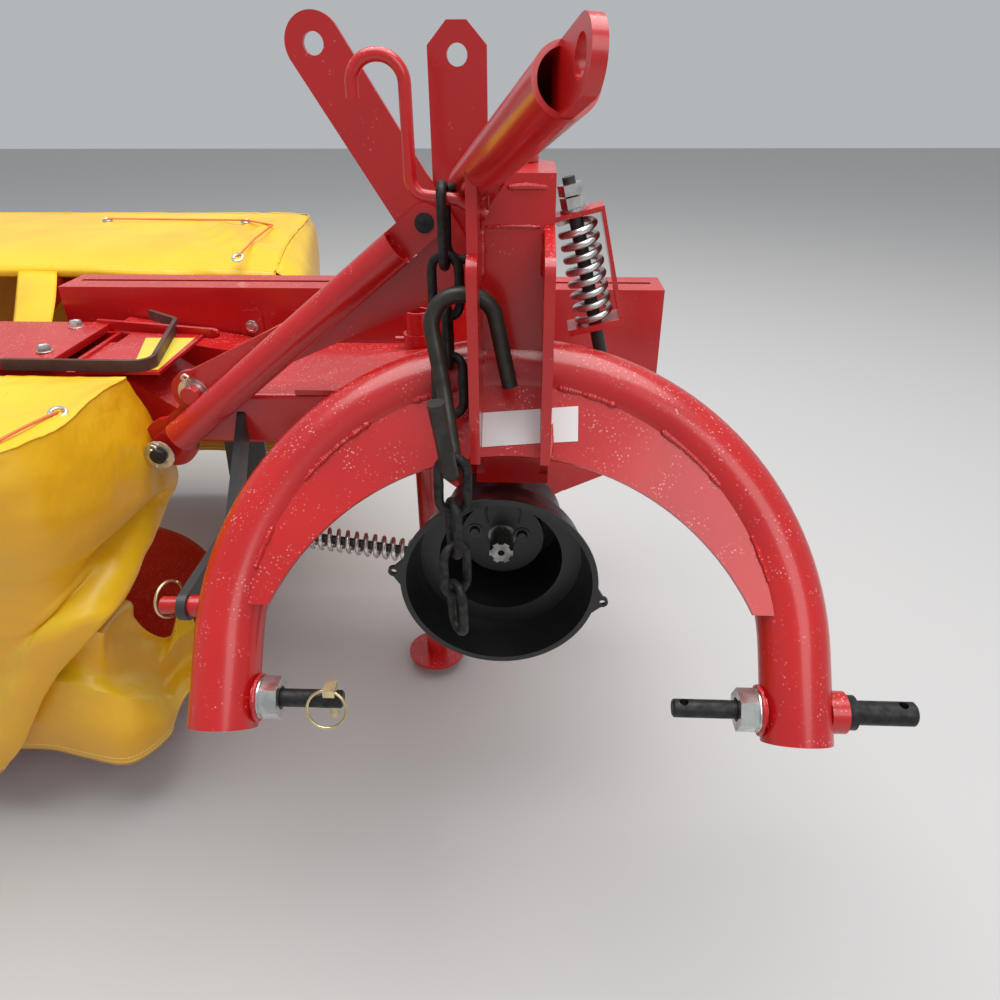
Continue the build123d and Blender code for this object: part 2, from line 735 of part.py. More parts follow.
with BuildPart() as mast_plate:
    plate_rear = arm_y + arm_thick / 2 + running_gap / 3 + 8
    with BuildSketch(xz(plate_rear)):
        Polygon((-108, 412), (-36, 446), (-36, 690), (-60, 716), (-84, 716), (-108, 690), align=None)
        with Locations((-72, 680)):
            Circle(knee_pin / 2, mode=Mode.SUBTRACT)
    extrude(amount=8)
keep(mast_plate, "mast_plate")

with BuildPart() as knee_bolt:
    with BuildSketch(xz(strap_y + strap_thick / 2)):
        with Locations((knee_x, knee_z)):
            Circle(knee_pin / 2)
    extrude(amount=strap_thick + 14)
    with BuildSketch(xz(strap_y - strap_thick / 2 - running_gap / 3)):
        with Locations((knee_x, knee_z)):
            Circle(21)
            Circle(knee_pin / 2, mode=Mode.SUBTRACT)
    extrude(amount=strap_y - strap_thick / 2 - rod_eye_y - eye_thick / 2 - 2 * running_gap / 3)
keep(knee_bolt, "knee_bolt")

# Belt guard, a sheet box around the two pulleys with a slot along its top
guard_round = 205
guard_outline = ((guard_left, guard_top), (guard_right, guard_top), (guard_right, -42), (98, -122),
                 (-150, -103), (-340, 0), (guard_left, 118))
with BuildPart() as belt_guard:
    with BuildSketch(xz(guard_rear)) as guard_face:
        Polygon(*guard_outline, align=None)
        with Locations((input_x, input_z)):
            Circle(guard_round)
    extrude(amount=guard_rear - guard_front)
    with BuildSketch(xz(guard_rear - guard_wall)):
        add(guard_face.sketch_local)
        offset(amount=-guard_wall, mode=Mode.REPLACE)
    extrude(amount=guard_rear - guard_front - 2 * guard_wall, mode=Mode.SUBTRACT)
    with BuildSketch(Plane.XY.offset(guard_top - 2 * guard_wall)):
        with Locations(((guard_left + guard_right) / 2, guard_front + 52)):
            Rectangle(guard_right - guard_left - 40, slot_gap)
    extrude(amount=4 * guard_wall, mode=Mode.SUBTRACT)
    with BuildSketch(xz(guard_front + 2 * guard_wall)):
        with Locations((input_x, input_z)):
            Circle(46)
    extrude(amount=4 * guard_wall, mode=Mode.SUBTRACT)
keep(belt_guard, "belt_guard")

# Brackets that carry the belt guard on the beam
with BuildPart() as guard_brackets:
    for place in (-408, -106):
        with BuildSketch(xz(guard_front - running_gap / 3)):
            with Locations((place, 226)):
                RectangleRounded(64, 76, 8)
        extrude(amount=5)
        with BuildSketch(Plane.XY.offset(196)):
            with Locations((place, (beam_rear + guard_front) / 2)):
                Rectangle(50, guard_front - beam_rear - 2 * running_gap / 3)
        extrude(amount=8)
keep(guard_brackets, "guard_brackets")

# Bearing housing of the input shaft, hung from the beam
housing_dia = 88
bell_seat = bell_back_y + 12
with BuildPart() as input_housing:
    with BuildSketch(xz(guard_front - running_gap / 3)):
        with Locations((input_x, input_z)):
            Circle(housing_dia / 2)
            Circle(drive_radius + running_gap, mode=Mode.SUBTRACT)
    extrude(amount=guard_front - bell_seat)
    for place in (beam_front + 26, beam_rear - 70):
        with BuildSketch(xz(place)):
            Polygon((-140, beam_low - 0.1), (beam_right - 4, beam_low - 0.1), (input_x + 36, input_z + 26),
                    (input_x, input_z), (input_x - 42, input_z - 12), align=None)
            with Locations((input_x, input_z)):
                Circle(drive_radius + running_gap, mode=Mode.SUBTRACT)
        extrude(amount=10)
keep(input_housing, "input_housing")

# Input shaft with a six spline stub
with BuildPart() as input_shaft:
    with BuildSketch(xz(guard_front + 20)):
        with Locations((input_x, input_z)):
            Circle(drive_radius)
    extrude(amount=guard_front + 20 - nose_y - 4)
    with BuildSketch(xz(nose_y + 4)):
        with Locations((input_x, input_z)):
            Circle(stub_root / 2)
            with PolarLocations(0, spline_count):
                with Locations((stub_dia / 4, 0)):
                    Rectangle(stub_dia / 2 - 0.4, 8.6)
    extrude(amount=nose_y + 4 - stub_face)
    with BuildSketch(xz(stub_face - 1)):
        with Locations((input_x, input_z)):
            Circle(5)
    extrude(amount=-18, mode=Mode.SUBTRACT)
keep(input_shaft, "input_shaft")

# Bell shaped guard around the stub: a flared mouth, a step and a straight body
bell_axis = Axis((input_x, 0, input_z), (0, 1, 0))
lip = 5
flare_y = 212
flare_radius = 121.5
bell_profile = (
    # place along the shaft, radius
    (bell_rim_y, bell_rim - bell_wall), (bell_rim_y, bell_rim + lip), (bell_rim_y + 4, bell_rim + lip),
    (bell_rim_y + 6, bell_rim), (flare_y, flare_radius), (bell_step_y, bell_step),
    (bell_step_y, bell_body + 1.5), (bell_back_y, bell_body), (bell_back_y, housing_dia / 2 + 3),
    (bell_back_y - bell_wall, housing_dia / 2 + 3), (bell_back_y - bell_wall, bell_body - bell_wall),
    (bell_step_y - bell_wall, bell_body + 1.5 - bell_wall), (bell_step_y - bell_wall, bell_step - bell_wall),
    (flare_y, flare_radius - bell_wall), (bell_rim_y, bell_rim - bell_wall),
)
ear_out = 14
ear_round = 8
with BuildPart() as bell_guard:
    with BuildSketch(yz(input_x)):
        with BuildLine():
            Polyline(*[(place, input_z + radius) for place, radius in bell_profile])
        make_face()
    revolve(axis=bell_axis)
    with BuildSketch(xz(bell_rim_y + 5)):
        for angle in (172, -10):
            with Locations(Location((input_x, input_z, 0), (0, 0, angle))):
                Polygon((bell_rim - 1, -26), (bell_rim + ear_out, -ear_round), (bell_rim + ear_out, ear_round),
                        (bell_rim - 1, 26), align=None)
                with Locations((bell_rim + ear_out, 0)):
                    Circle(ear_round)
                    Circle(ear_round / 2, mode=Mode.SUBTRACT)
        with Locations((input_x, input_z)):
            Circle(bell_rim - bell_wall, mode=Mode.SUBTRACT)
    extrude(amount=5)
keep(bell_guard, "bell_guard")

with BuildPart() as bell_flange:
    for start, end, radius in ((bell_seat, nose_y, housing_dia / 2), (nose_y + 12, nose_y, nose_radius)):
        with BuildSketch(xz(start - running_gap / 3)):
            with Locations((input_x, input_z)):
                Circle(radius)
                Circle(drive_radius + running_gap, mode=Mode.SUBTRACT)
        extrude(amount=start - end - running_gap / 3)
    with BuildSketch(xz(bell_seat - running_gap / 3)):
        with Locations((input_x, input_z)):
            Circle(70)
            Circle(housing_dia / 2, mode=Mode.SUBTRACT)
    extrude(amount=bell_seat - bell_back_y - 2 * running_gap / 3)
keep(bell_flange, "bell_flange")

# Side spring on its rod between the hanging plate and the bearing housing
side_left = Vector(-476, 474, -56)
side_right = Vector(-66, 474, -120)
side_way = (side_right - side_left).normalized()
side_coil = 44
side_wire = 8
side_turns = 15
coil_from = 70
coil_length = 250
with BuildPart() as side_rod:
    with BuildSketch(Plane(origin=side_left, z_dir=side_way)):
        Circle(8)
    extrude(amount=(side_right - side_left).length)
    for spot in (coil_from - 5 - running_gap, coil_from + coil_length - 2 + side_wire + running_gap):
        with BuildSketch(Plane(origin=side_left + side_way * spot, z_dir=side_way)):
            Circle(23)
        extrude(amount=5)
keep(side_rod, "side_rod")

with BuildPart() as side_spring:
    coil_start = side_left + side_way * (coil_from + side_wire / 2)
    with BuildLine() as side_helix:
        Helix(pitch=(coil_length - 2) / side_turns, height=coil_length - 2, radius=(side_coil - side_wire) / 2,
              center=coil_start, direction=side_way)
    with BuildSketch(Plane(origin=side_helix.line @ 0, z_dir=side_helix.line % 0)):
        Circle(side_wire / 2)
    sweep()
keep(side_spring, "side_spring")

with BuildPart() as side_plates:
    with BuildSketch(xz(side_left.Y + 8.1 + 8)):
        Polygon((-497, beam_low - 0.1), (-428, beam_low - 0.1), (-438, -96), (-508, -96), align=None)
    extrude(amount=8)
    with BuildSketch(xz(side_right.Y + 8.1 + 8)):
        Polygon((input_x - 40, input_z - 10), (input_x - 6, input_z - housing_dia / 2 - 0.1),
                (-50, -142), (-92, -142), (-100, -100), align=None)
        with Locations((input_x, input_z)):
            Circle(housing_dia / 2 + 0.1, mode=Mode.SUBTRACT)
    extrude(amount=8)
keep(side_plates, "side_plates")

# Stand sleeve through the beam, and the stand leg with its foot
with BuildPart() as stand_clamp:
    with BuildSketch(Plane.XY.offset(beam_low - 40)):
        with Locations((stand_x, stand_y)):
            Circle(stand_sleeve / 2)
            Circle(stand_tube / 2 + running_gap, mode=Mode.SUBTRACT)
    extrude(amount=beam_height + 40 + 28)
    with BuildSketch(yz(stand_x - stand_sleeve / 2 - 14)):
        with Locations((stand_y, beam_top + 16)):
            Circle(5)
    extrude(amount=16)
keep(stand_clamp, "stand_clamp")

with BuildPart() as stand_leg:
    with BuildSketch(Plane.XY.offset(ground + foot_thick)):
        with Locations((stand_x, stand_y)):
            Circle(stand_tube / 2)
            Circle(stand_tube / 2 - stand_wall, mode=Mode.SUBTRACT)
    extrude(amount=stand_top - ground - foot_thick)
    with BuildSketch(Plane.XY.offset(ground)):
        with Locations((stand_x, stand_y)):
            Circle(foot_dia / 2)
    extrude(amount=foot_thick)
    for turn in range(4):
        with BuildSketch(Plane(origin=(stand_x, stand_y, ground + foot_thick), x_dir=(
                cos(radians(45 + 90 * turn)), sin(radians(45 + 90 * turn)), 0),
                z_dir=(-sin(radians(45 + 90 * turn)), cos(radians(45 + 90 * turn)), 0))):
            Polygon((stand_tube / 2 - 1, 0), (foot_dia / 2 - 12, 0), (stand_tube / 2 - 1, 34), align=None)
        extrude(amount=2.5, both=True)
keep(stand_leg, "stand_leg")

# Barrel of the cutting unit on the hinge bolt, with the neck that joins it to the housing
barrel_dia = 62
neck_front = 452
neck_rear = 600
housing_front = drum_y - housing_width / 2
housing_rear = drum_y + housing_width / 2
neck_outline = ((housing_right + 0.1, housing_low + 4), (housing_right + 0.1, housing_top - 4),
                (-640, housing_top - 4), (hinge_x - 14, hinge_z + 28), (hinge_x - 8, hinge_z),
                (hinge_x - 14, hinge_z - 28), (-600, hinge_z - 28))
with BuildPart() as cutter_neck:
    with BuildSketch(xz(neck_rear)) as neck_face:
        Polygon(*neck_outline, align=None)
    extrude(amount=neck_rear - neck_front)
    with BuildSketch(xz(neck_rear - 8)):
        add(neck_face.sketch_local)
        offset(amount=-8, mode=Mode.REPLACE)
    extrude(amount=neck_rear - neck_front - 16, mode=Mode.SUBTRACT)
    with BuildSketch(xz(beam_rear - ear_thick - 2)):
        with Locations((hinge_x, hinge_z)):
            Circle(barrel_dia / 2)
    extrude(amount=beam_rear - beam_front - 2 * ear_thick - 4)
    with BuildSketch(xz(beam_rear)):
        with Locations((hinge_x, hinge_z)):
            Circle(hinge_pin / 2 + running_gap)
    extrude(amount=beam_rear - beam_front, mode=Mode.SUBTRACT)
keep(cutter_neck, "cutter_neck")

cover_sheet = 5
with BuildPart() as hinge_cover:
    with BuildSketch(Plane.XY.offset(hinge_cover_z)):
        Polygon((-690, 430), (-556, 430), (-556, 620), (-690, 620), align=None)
    extrude(amount=cover_sheet)
    with BuildSketch(Plane.XY.offset(housing_top - 4 + 0.1)):
        with Locations((-668, (neck_front + neck_rear) / 2)):
            Rectangle(40, neck_rear - neck_front)
    extrude(amount=hinge_cover_z - housing_top + 4 - 0.1)
keep(hinge_cover, "hinge_cover")

# Gear housing over the drums, a hollow box with a bolted cover
housing_wall = 8
outer_x = drum_x - drum_pitch
housing_left = outer_x - 110
with BuildPart() as gear_housing:
    with BuildSketch(Plane.XY.offset(housing_low)):
        with Locations(((housing_left + housing_right) / 2, drum_y)):
            RectangleRounded(housing_right - housing_left, housing_width, 12)
    extrude(amount=housing_top - housing_low)
    with BuildSketch(Plane.XY.offset(housing_low + housing_wall)):
        with Locations(((housing_left + housing_right) / 2, drum_y)):
            Rectangle(housing_right - housing_left - 2 * housing_wall, housing_width - 2 * housing_wall)
    extrude(amount=housing_top - housing_low, mode=Mode.SUBTRACT)
    with BuildSketch(Plane.XY.offset(housing_low - 22)):
        for place in (drum_x, outer_x):
            with Locations((place, drum_y)):
                Circle(78)
    extrude(amount=22)
    with BuildSketch(Plane.XY.offset(housing_low - 23)):
        for place in (drum_x, outer_x):
            with Locations((place, drum_y)):
                Circle(shaft_radius + running_gap)
    extrude(amount=24 + housing_wall, mode=Mode.SUBTRACT)
keep(gear_housing, "gear_housing")

cover_plate = 12
with BuildPart() as housing_plate:
    with BuildSketch(Plane.XY.offset(housing_top + running_gap / 3)):
        with Locations(((housing_left + housing_right) / 2 - 12, drum_y)):
            Rectangle(housing_right - housing_left - 26, housing_width + 30)
    extrude(amount=cover_plate - running_gap / 3)
keep(housing_plate, "housing_plate")

# Drive case between the belt guard and the neck, turning on the hinge axis
with BuildPart() as drive_case:
    with BuildSketch(xz(guard_front - 8)):
        with Locations((hinge_x, hinge_z)):
            Circle(58)
        Polygon((hinge_x, hinge_z + 58), (hinge_x, hinge_z - 58), (housing_right - 30, housing_low),
                (housing_right - 30, housing_top), align=None)
    extrude(amount=guard_front - 8 - housing_rear - 0.1)
    with BuildSketch(xz(housing_rear + 1)):
        with Locations((hinge_x, hinge_z)):
            Circle(30)
    extrude(amount=-20, mode=Mode.SUBTRACT)
keep(drive_case, "drive_case")

# Bent catch bar over the hinge
bar_height = 18
bar_thick = 7
bar_z = hinge_cover_z + cover_sheet + bar_height / 2 + running_gap
with BuildPart() as catch_bar:
    with BuildLine() as catch_path:
        FilletPolyline((-806, 433, bar_z), (-566, 430, bar_z), (-620, 655, bar_z), (-690, 704, bar_z),
                       radius=(24, 24))
    with BuildSketch(Plane(origin=catch_path.line @ 0, x_dir=(0, 0, 1), z_dir=catch_path.line % 0)):
        Rectangle(bar_height, bar_thick)
    sweep()
keep(catch_bar, "catch_bar")

# Frame of the front cover; its rear tube lies lower and turns in two cradles
bow_z = cover_top - cloth - frame_tube / 2 - 0.1
bow_front = 126
bow_rear = cover_split - 18
bow_hinge_z = bow_z - 14
cradle_wall = 8
cradle_places = (-960, -1900)
with BuildPart() as front_bow:
    with BuildLine() as bow_path:
        FilletPolyline((cover_left + 24, bow_rear, bow_hinge_z), (cover_left + 24, bow_front, bow_z),
                       (cover_right - 24, bow_front, bow_z), (cover_right - 24, bow_rear, bow_hinge_z),
                       radius=60, close=True)
    with BuildSketch(Plane(origin=bow_path.line @ 0, z_dir=bow_path.line % 0)):
        Circle(frame_tube / 2)
    sweep()
keep(front_bow, "front_bow")

with BuildPart() as guard_arms:
    for place in cradle_places:
        with BuildSketch(yz(place)):
            with Locations((bow_rear, bow_hinge_z)):
                Circle(frame_tube / 2 + cradle_wall)
            Polygon((bow_rear - 10, bow_hinge_z - frame_tube / 2 - cradle_wall + 1),
                    (housing_front - 0.1, housing_low + 2), (housing_front - 0.1, housing_low + 28),
                    (bow_rear + 14, bow_hinge_z - 20), align=None)
            with Locations((bow_rear, bow_hinge_z)):
                Circle(frame_tube / 2 + running_gap, mode=Mode.SUBTRACT)
            with Locations((bow_rear, bow_hinge_z + frame_tube)):
                Rectangle(3 * frame_tube, 2 * frame_tube - 2, mode=Mode.SUBTRACT)
        extrude(amount=40)
keep(guard_arms, "guard_arms")

# Front cover, a shell open below and behind, that bulges out at the hinge
hem_front = 165
cover_rows = (
    # height, front, right end, rear
    (cover_top, cover_front, cover_right, cover_split),
    (96, 132, cover_right + 14, cover_split + 12),
    (-60, 148, cover_right - 18, cover_split + 22),
    (hem, hem_front, cover_right - 4, cover_split + 41),
)
with BuildPart() as front_cover:
    for low, inset, combine in ((0, 0, Mode.ADD), (cloth, cloth, Mode.SUBTRACT)):
        for height, front, right, rear in cover_rows:
            with BuildSketch(Plane.XY.offset(height - low)):
                Polygon((cover_left + inset, front + inset), (right - inset, front + inset),
                        (right - inset, rear + 2 * low), (cover_left + inset, rear + 2 * low), align=None)
        loft(ruled=True, mode=combine)
keep(front_cover, "front_cover")

# Frame and shell of the rear cover
rear_right = -550
rear_bow_z = rear_top - cloth - frame_tube / 2 - 0.1
rear_bow_front = cover_back_start + 100
frame_inset = 28
with BuildPart() as rear_frame:
    with BuildLine() as rear_path:
        FilletPolyline((cover_left + 24, rear_bow_front, rear_bow_z),
                       (cover_left + 24, cover_rear - frame_inset, rear_bow_z),
                       (rear_right - frame_inset, cover_rear - frame_inset, rear_bow_z),
                       (rear_right - frame_inset, rear_bow_front, rear_bow_z), radius=60, close=True)
    with BuildSketch(Plane(origin=rear_path.line @ 0, z_dir=rear_path.line % 0)):
        Circle(frame_tube / 2)
    sweep()
    for place in cradle_places:
        with BuildSketch(yz(place)):
            Polygon((housing_rear + 0.1, housing_low + 8), (housing_rear + 0.1, housing_low + 60),
                    (rear_bow_front, rear_bow_z + 12), (rear_bow_front, rear_bow_z - 12), align=None)
        extrude(amount=12)
keep(rear_frame, "rear_frame")

rear_rows = (
    # height, front, right end, rear
    (rear_top, cover_back_start, rear_right, cover_rear),
    (hem, cover_back_start - 30, rear_right - 50, cover_rear - 60),
)
with BuildPart() as rear_cover:
    for low, inset, combine in ((0, 0, Mode.ADD), (cloth, cloth, Mode.SUBTRACT)):
        for height, front, right, rear in rear_rows:
            with BuildSketch(Plane.XY.offset(height - low)):
                Polygon((cover_left + inset, front - 2 * low), (right - inset, front - 2 * low),
                        (right - inset, rear - inset), (cover_left + inset, rear - inset), align=None)
        loft(mode=combine)
keep(rear_cover, "rear_cover")

# Drums, the dishes under them, their knives and the free turning skids
drum_top = housing_low - 28
skirt_top = -250
sheet = 6
skid_top = dish_low - 10
for name, place in (("inner", drum_x), ("outer", outer_x)):
    spin = Axis((place, drum_y, 0), (0, 0, 1))
    side = Plane(origin=(place, drum_y, 0), x_dir=(1, 0, 0), z_dir=(0, -1, 0))
    with BuildPart() as drum:
        with BuildSketch(side):
            with BuildLine():
                Polyline((0, housing_low + 4), (shaft_radius, housing_low + 4), (shaft_radius, drum_top),
                         (drum_shell, drum_top), (drum_shell + 8, skirt_top), (skirt_radius, dish_rim + 0.1),
                         (skirt_radius - sheet, dish_rim + 0.1), (drum_shell + 8 - sheet, skirt_top - 2),
                         (drum_shell - sheet, drum_top - sheet), (shaft_radius, drum_top - sheet),
                         (shaft_radius, dish_rim + 0.1), (0, dish_rim + 0.1), (0, housing_low + 4))
            make_face()
        revolve(axis=spin)
    keep(drum, "drum_" + name)
    with BuildPart() as dish:
        with BuildSketch(side):
            with BuildLine():
                Polyline((0, dish_rim), (dish_radius - 14, dish_rim), (dish_radius, dish_rim - 3),
                         (dish_radius, dish_low), (dish_radius - 4, dish_low), (dish_radius - 16, dish_low + 2),
                         (60, dish_low + 2), (60, dish_low), (0, dish_low), (0, dish_rim))
            make_face()
        revolve(axis=spin)
        with BuildSketch(Plane.XY.offset(dish_low)):
            with Locations((place, drum_y)):
                Circle(skid_shaft + running_gap)
        extrude(amount=dish_rim - dish_low, mode=Mode.SUBTRACT)
    keep(dish, "dish_" + name)
    with BuildPart() as knives:
        for turn in range(3):
            with BuildSketch(Plane.XY.offset(dish_low - knife_thick - 0.1)):
                with Locations(Location((place, drum_y, 0), (0, 0, 120 * turn))):
                    with Locations((blade_reach - 60, 0)):
                        Rectangle(120, 46)
                        with Locations((-40, 0)):
                            Circle(7, mode=Mode.SUBTRACT)
            extrude(amount=knife_thick)
    keep(knives, "knives_" + name)
    with BuildPart() as skid:
        with BuildSketch(side):
            with BuildLine():
                Polyline((0, ground), (150, ground), (skid_radius, ground + 16), (skid_radius, ground + 21),
                         (148, ground + 5), (60, ground + 5), (50, skid_top), (skid_shaft, skid_top),
                         (skid_shaft, dish_rim - 1), (0, dish_rim - 1), (0, ground))
            make_face()
        revolve(axis=spin)
    keep(skid, "skid_" + name)
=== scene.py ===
import bmesh
import bpy
import json
import math
import numpy as np
from mathutils import Matrix, Vector, noise

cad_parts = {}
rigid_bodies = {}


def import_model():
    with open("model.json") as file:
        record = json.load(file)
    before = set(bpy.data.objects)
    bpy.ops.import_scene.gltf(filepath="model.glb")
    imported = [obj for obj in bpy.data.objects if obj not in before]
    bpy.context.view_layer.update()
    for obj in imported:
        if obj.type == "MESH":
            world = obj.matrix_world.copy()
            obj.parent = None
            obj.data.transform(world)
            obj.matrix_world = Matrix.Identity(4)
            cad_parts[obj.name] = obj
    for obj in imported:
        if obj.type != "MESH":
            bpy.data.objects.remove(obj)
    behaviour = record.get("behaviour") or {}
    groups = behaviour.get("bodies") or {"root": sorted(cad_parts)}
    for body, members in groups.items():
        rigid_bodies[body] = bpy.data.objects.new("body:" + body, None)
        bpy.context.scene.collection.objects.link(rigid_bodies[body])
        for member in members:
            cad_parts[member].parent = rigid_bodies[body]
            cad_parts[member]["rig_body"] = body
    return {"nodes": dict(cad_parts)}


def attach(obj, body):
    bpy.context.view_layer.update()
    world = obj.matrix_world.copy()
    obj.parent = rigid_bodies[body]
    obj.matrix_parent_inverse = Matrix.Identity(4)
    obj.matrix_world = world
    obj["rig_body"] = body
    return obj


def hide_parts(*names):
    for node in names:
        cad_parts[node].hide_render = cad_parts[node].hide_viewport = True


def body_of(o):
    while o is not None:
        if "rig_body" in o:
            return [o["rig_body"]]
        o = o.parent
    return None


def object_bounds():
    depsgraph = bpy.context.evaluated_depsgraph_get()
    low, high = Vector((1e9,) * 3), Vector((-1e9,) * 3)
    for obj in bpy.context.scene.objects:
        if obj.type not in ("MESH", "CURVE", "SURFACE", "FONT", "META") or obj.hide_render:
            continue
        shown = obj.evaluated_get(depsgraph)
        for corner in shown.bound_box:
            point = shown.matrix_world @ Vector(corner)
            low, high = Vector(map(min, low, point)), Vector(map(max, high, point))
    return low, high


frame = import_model()
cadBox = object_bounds()
nodes = frame["nodes"]

# Camera, light and floor
cameraSet = {
    "place": (0.023, -0.673, 0.673),
    "pitch": 30.0,
    "yaw": 2.5,
    "roll": -0.3,
    "lens": 27.36,
}
lightSet = {
    "sky": (0.80, 0.83, 0.87),
    "skyPower": 0.56,
    "topPlace": (-0.3, 0.6, 4.2),
    "topPower": 240.0,
    "topSize": 5.0,
    "keyPlace": (1.6, -2.6, 2.6),
    "keyPower": 34.0,
    "keySize": 2.4,
    "floorColour": (0.55, 0.54, 0.53),
    "floorRough": 0.9,
}


def camera():
    pitch, yaw, roll = (math.radians(cameraSet[k]) for k in ("pitch", "yaw", "roll"))
    ahead = Vector((-math.sin(yaw) * math.cos(pitch), math.cos(yaw) * math.cos(pitch), -math.sin(pitch)))
    right = Vector((math.cos(yaw), math.sin(yaw), 0))
    up = right.cross(ahead)
    turned = right * math.cos(roll) + up * math.sin(roll)
    head = turned.cross(ahead)
    data = bpy.data.cameras.new("camera")
    data.lens = cameraSet["lens"]
    data.sensor_width = 36
    data.clip_start = 0.01
    eye = bpy.data.objects.new("camera", data)
    turn = Matrix((turned, head, -ahead)).transposed().to_4x4()
    eye.matrix_world = Matrix.Translation(cameraSet["place"]) @ turn
    bpy.context.scene.collection.objects.link(eye)
    bpy.context.scene.camera = eye


def lamp(name, place, target, power, size):
    data = bpy.data.lights.new(name, "AREA")
    data.energy = power
    data.shape = "DISK"
    data.size = size
    item = bpy.data.objects.new(name, data)
    way = Vector(target) - Vector(place)
    item.matrix_world = Matrix.Translation(place) @ way.to_track_quat("-Z", "Y").to_matrix().to_4x4()
    bpy.context.scene.collection.objects.link(item)


def studio():
    scene = bpy.context.scene
    scene.view_settings.view_transform = "Standard"
    world = bpy.data.worlds.new("sky")
    scene.world = world
    world.use_nodes = True
    back = world.node_tree.nodes["Background"]
    back.inputs["Color"].default_value = (*lightSet["sky"], 1)
    back.inputs["Strength"].default_value = lightSet["skyPower"]
    lamp("top", lightSet["topPlace"], (-0.4, 0.4, 0), lightSet["topPower"], lightSet["topSize"])
    lamp("key", lightSet["keyPlace"], (-0.1, 0.2, 0.1), lightSet["keyPower"], lightSet["keySize"])
    floor = bpy.data.meshes.new("floor")
    low = cadBox[0][2]
    floor.from_pydata([(-9, -9, low), (9, -9, low), (9, 12, low), (-9, 12, low)], [], [(0, 1, 2, 3)])
    ground = bpy.data.objects.new("floor", floor)
    scene.collection.objects.link(ground)
    ground.data.materials.append(plain("floorPaint", lightSet["floorColour"], lightSet["floorRough"]))


# Materials
paintSet = {
    "driftScale": 7.0,
    "peelScale": 170.0,
    "speckScale": 210.0,
    "speckColour": (0.72, 0.30, 0.27, 1),
    "puddleScale": 34.0,
}
clothSet = {
    "bright": (0.88, 0.57, 0.014),
    "dull": (0.78, 0.44, 0.008),
    # painted shade: the deeper orange given to cloth faces that turn away from up
    "shaded": (0.78, 0.37, 0.003, 1),
    "thread": (0.95, 0.80, 0.30, 1),
    "stitchRows": (0.008, 0.019),
    "stitchHalf": 0.0011,
    "stitchBeat": 1100.0,
    "weaveScale": 420.0,
    "foldScale": 14.0,
    "thick": 1.4,
    "crease": 40,
}


def shader(name):
    item = bpy.data.materials.new(name)
    item.use_nodes = True
    return item, item.node_tree, item.node_tree.nodes["Principled BSDF"]


def plain(name, colour, rough):
    item, tree, skin = shader(name)
    skin.inputs["Base Color"].default_value = (*colour, 1)
    skin.inputs["Roughness"].default_value = rough
    return item


def node(tree, kind, links=None, **values):
    item = tree.nodes.new("ShaderNode" + kind)
    for key, value in values.items():
        if hasattr(item, key):
            setattr(item, key, value)
        else:
            item.inputs[key.replace("_", " ")].default_value = value
    for key, source in (links or {}).items():
        tree.links.new(source, item.inputs[key])
    return item


def ramp(tree, source, stops):
    item = tree.nodes.new("ShaderNodeValToRGB")
    band = item.color_ramp
    while len(band.elements) < len(stops):
        band.elements.new(0.5)
    for spot, (at, colour) in zip(band.elements, stops):
        spot.position = at
        spot.color = (*colour, 1) if len(colour) == 3 else colour
    tree.links.new(source, item.inputs[0])
    return item


def grey(value):
    return (value, value, value)


# Gloss paint: slow colour drift, fine orange peel, and dried rain specks where a face looks up
def painted(name, colour, dark, rough=0.3, specks=True, coat=0.4):
    item, tree, skin = shader(name)
    coord = node(tree, "TexCoord").outputs["Object"]
    drift = node(tree, "TexNoise", {"Vector": coord}, Scale=paintSet["driftScale"], Detail=3.0)
    tone = ramp(tree, drift.outputs["Fac"], ((0.3, dark), (0.7, colour)))
    peel = node(tree, "TexNoise", {"Vector": coord}, Scale=paintSet["peelScale"], Detail=2.0)
    surface = tone.outputs["Color"]
    height = peel.outputs["Fac"]
    if specks:
        dots = node(tree, "TexVoronoi", {"Vector": coord}, Scale=paintSet["speckScale"], feature="F1")
        small = ramp(tree, dots.outputs["Distance"], ((0.15, grey(1.0)), (0.30, grey(0.0))))
        puddle = node(tree, "TexNoise", {"Vector": coord}, Scale=paintSet["puddleScale"], Detail=3.0)
        facing = node(tree, "SeparateXYZ", {"Vector": node(tree, "NewGeometry").outputs["True Normal"]})
        level = ramp(tree, facing.outputs["Z"], ((0.25, grey(0.0)), (0.95, grey(0.24))))
        total = node(tree, "Math", {0: puddle.outputs["Fac"], 1: level.outputs["Color"]}, operation="ADD")
        where = ramp(tree, total.outputs[0], ((0.58, grey(0.0)), (0.80, grey(0.9))))
        both = node(tree, "Math", {0: small.outputs["Color"], 1: where.outputs["Color"]},
                    operation="MULTIPLY")
        mix = node(tree, "Mix", {"Factor": both.outputs[0]}, data_type="RGBA")
        tree.links.new(surface, mix.inputs[6])
        mix.inputs[7].default_value = paintSet["speckColour"]
        surface = mix.outputs[2]
        raised = node(tree, "Math", {0: both.outputs[0], 1: peel.outputs["Fac"]}, operation="MULTIPLY_ADD")
        raised.inputs[1].default_value = 3.0
        tree.links.new(peel.outputs["Fac"], raised.inputs[2])
        height = raised.outputs[0]
    tree.links.new(surface, skin.inputs["Base Color"])
    bump = node(tree, "Bump", {"Height": height}, Strength=0.12, Distance=0.001)
    tree.links.new(bump.outputs["Normal"], skin.inputs["Normal"])
    skin.inputs["Roughness"].default_value = rough
    skin.inputs["Coat Weight"].default_value = coat
    skin.inputs["Coat Roughness"].default_value = 0.12
    return item


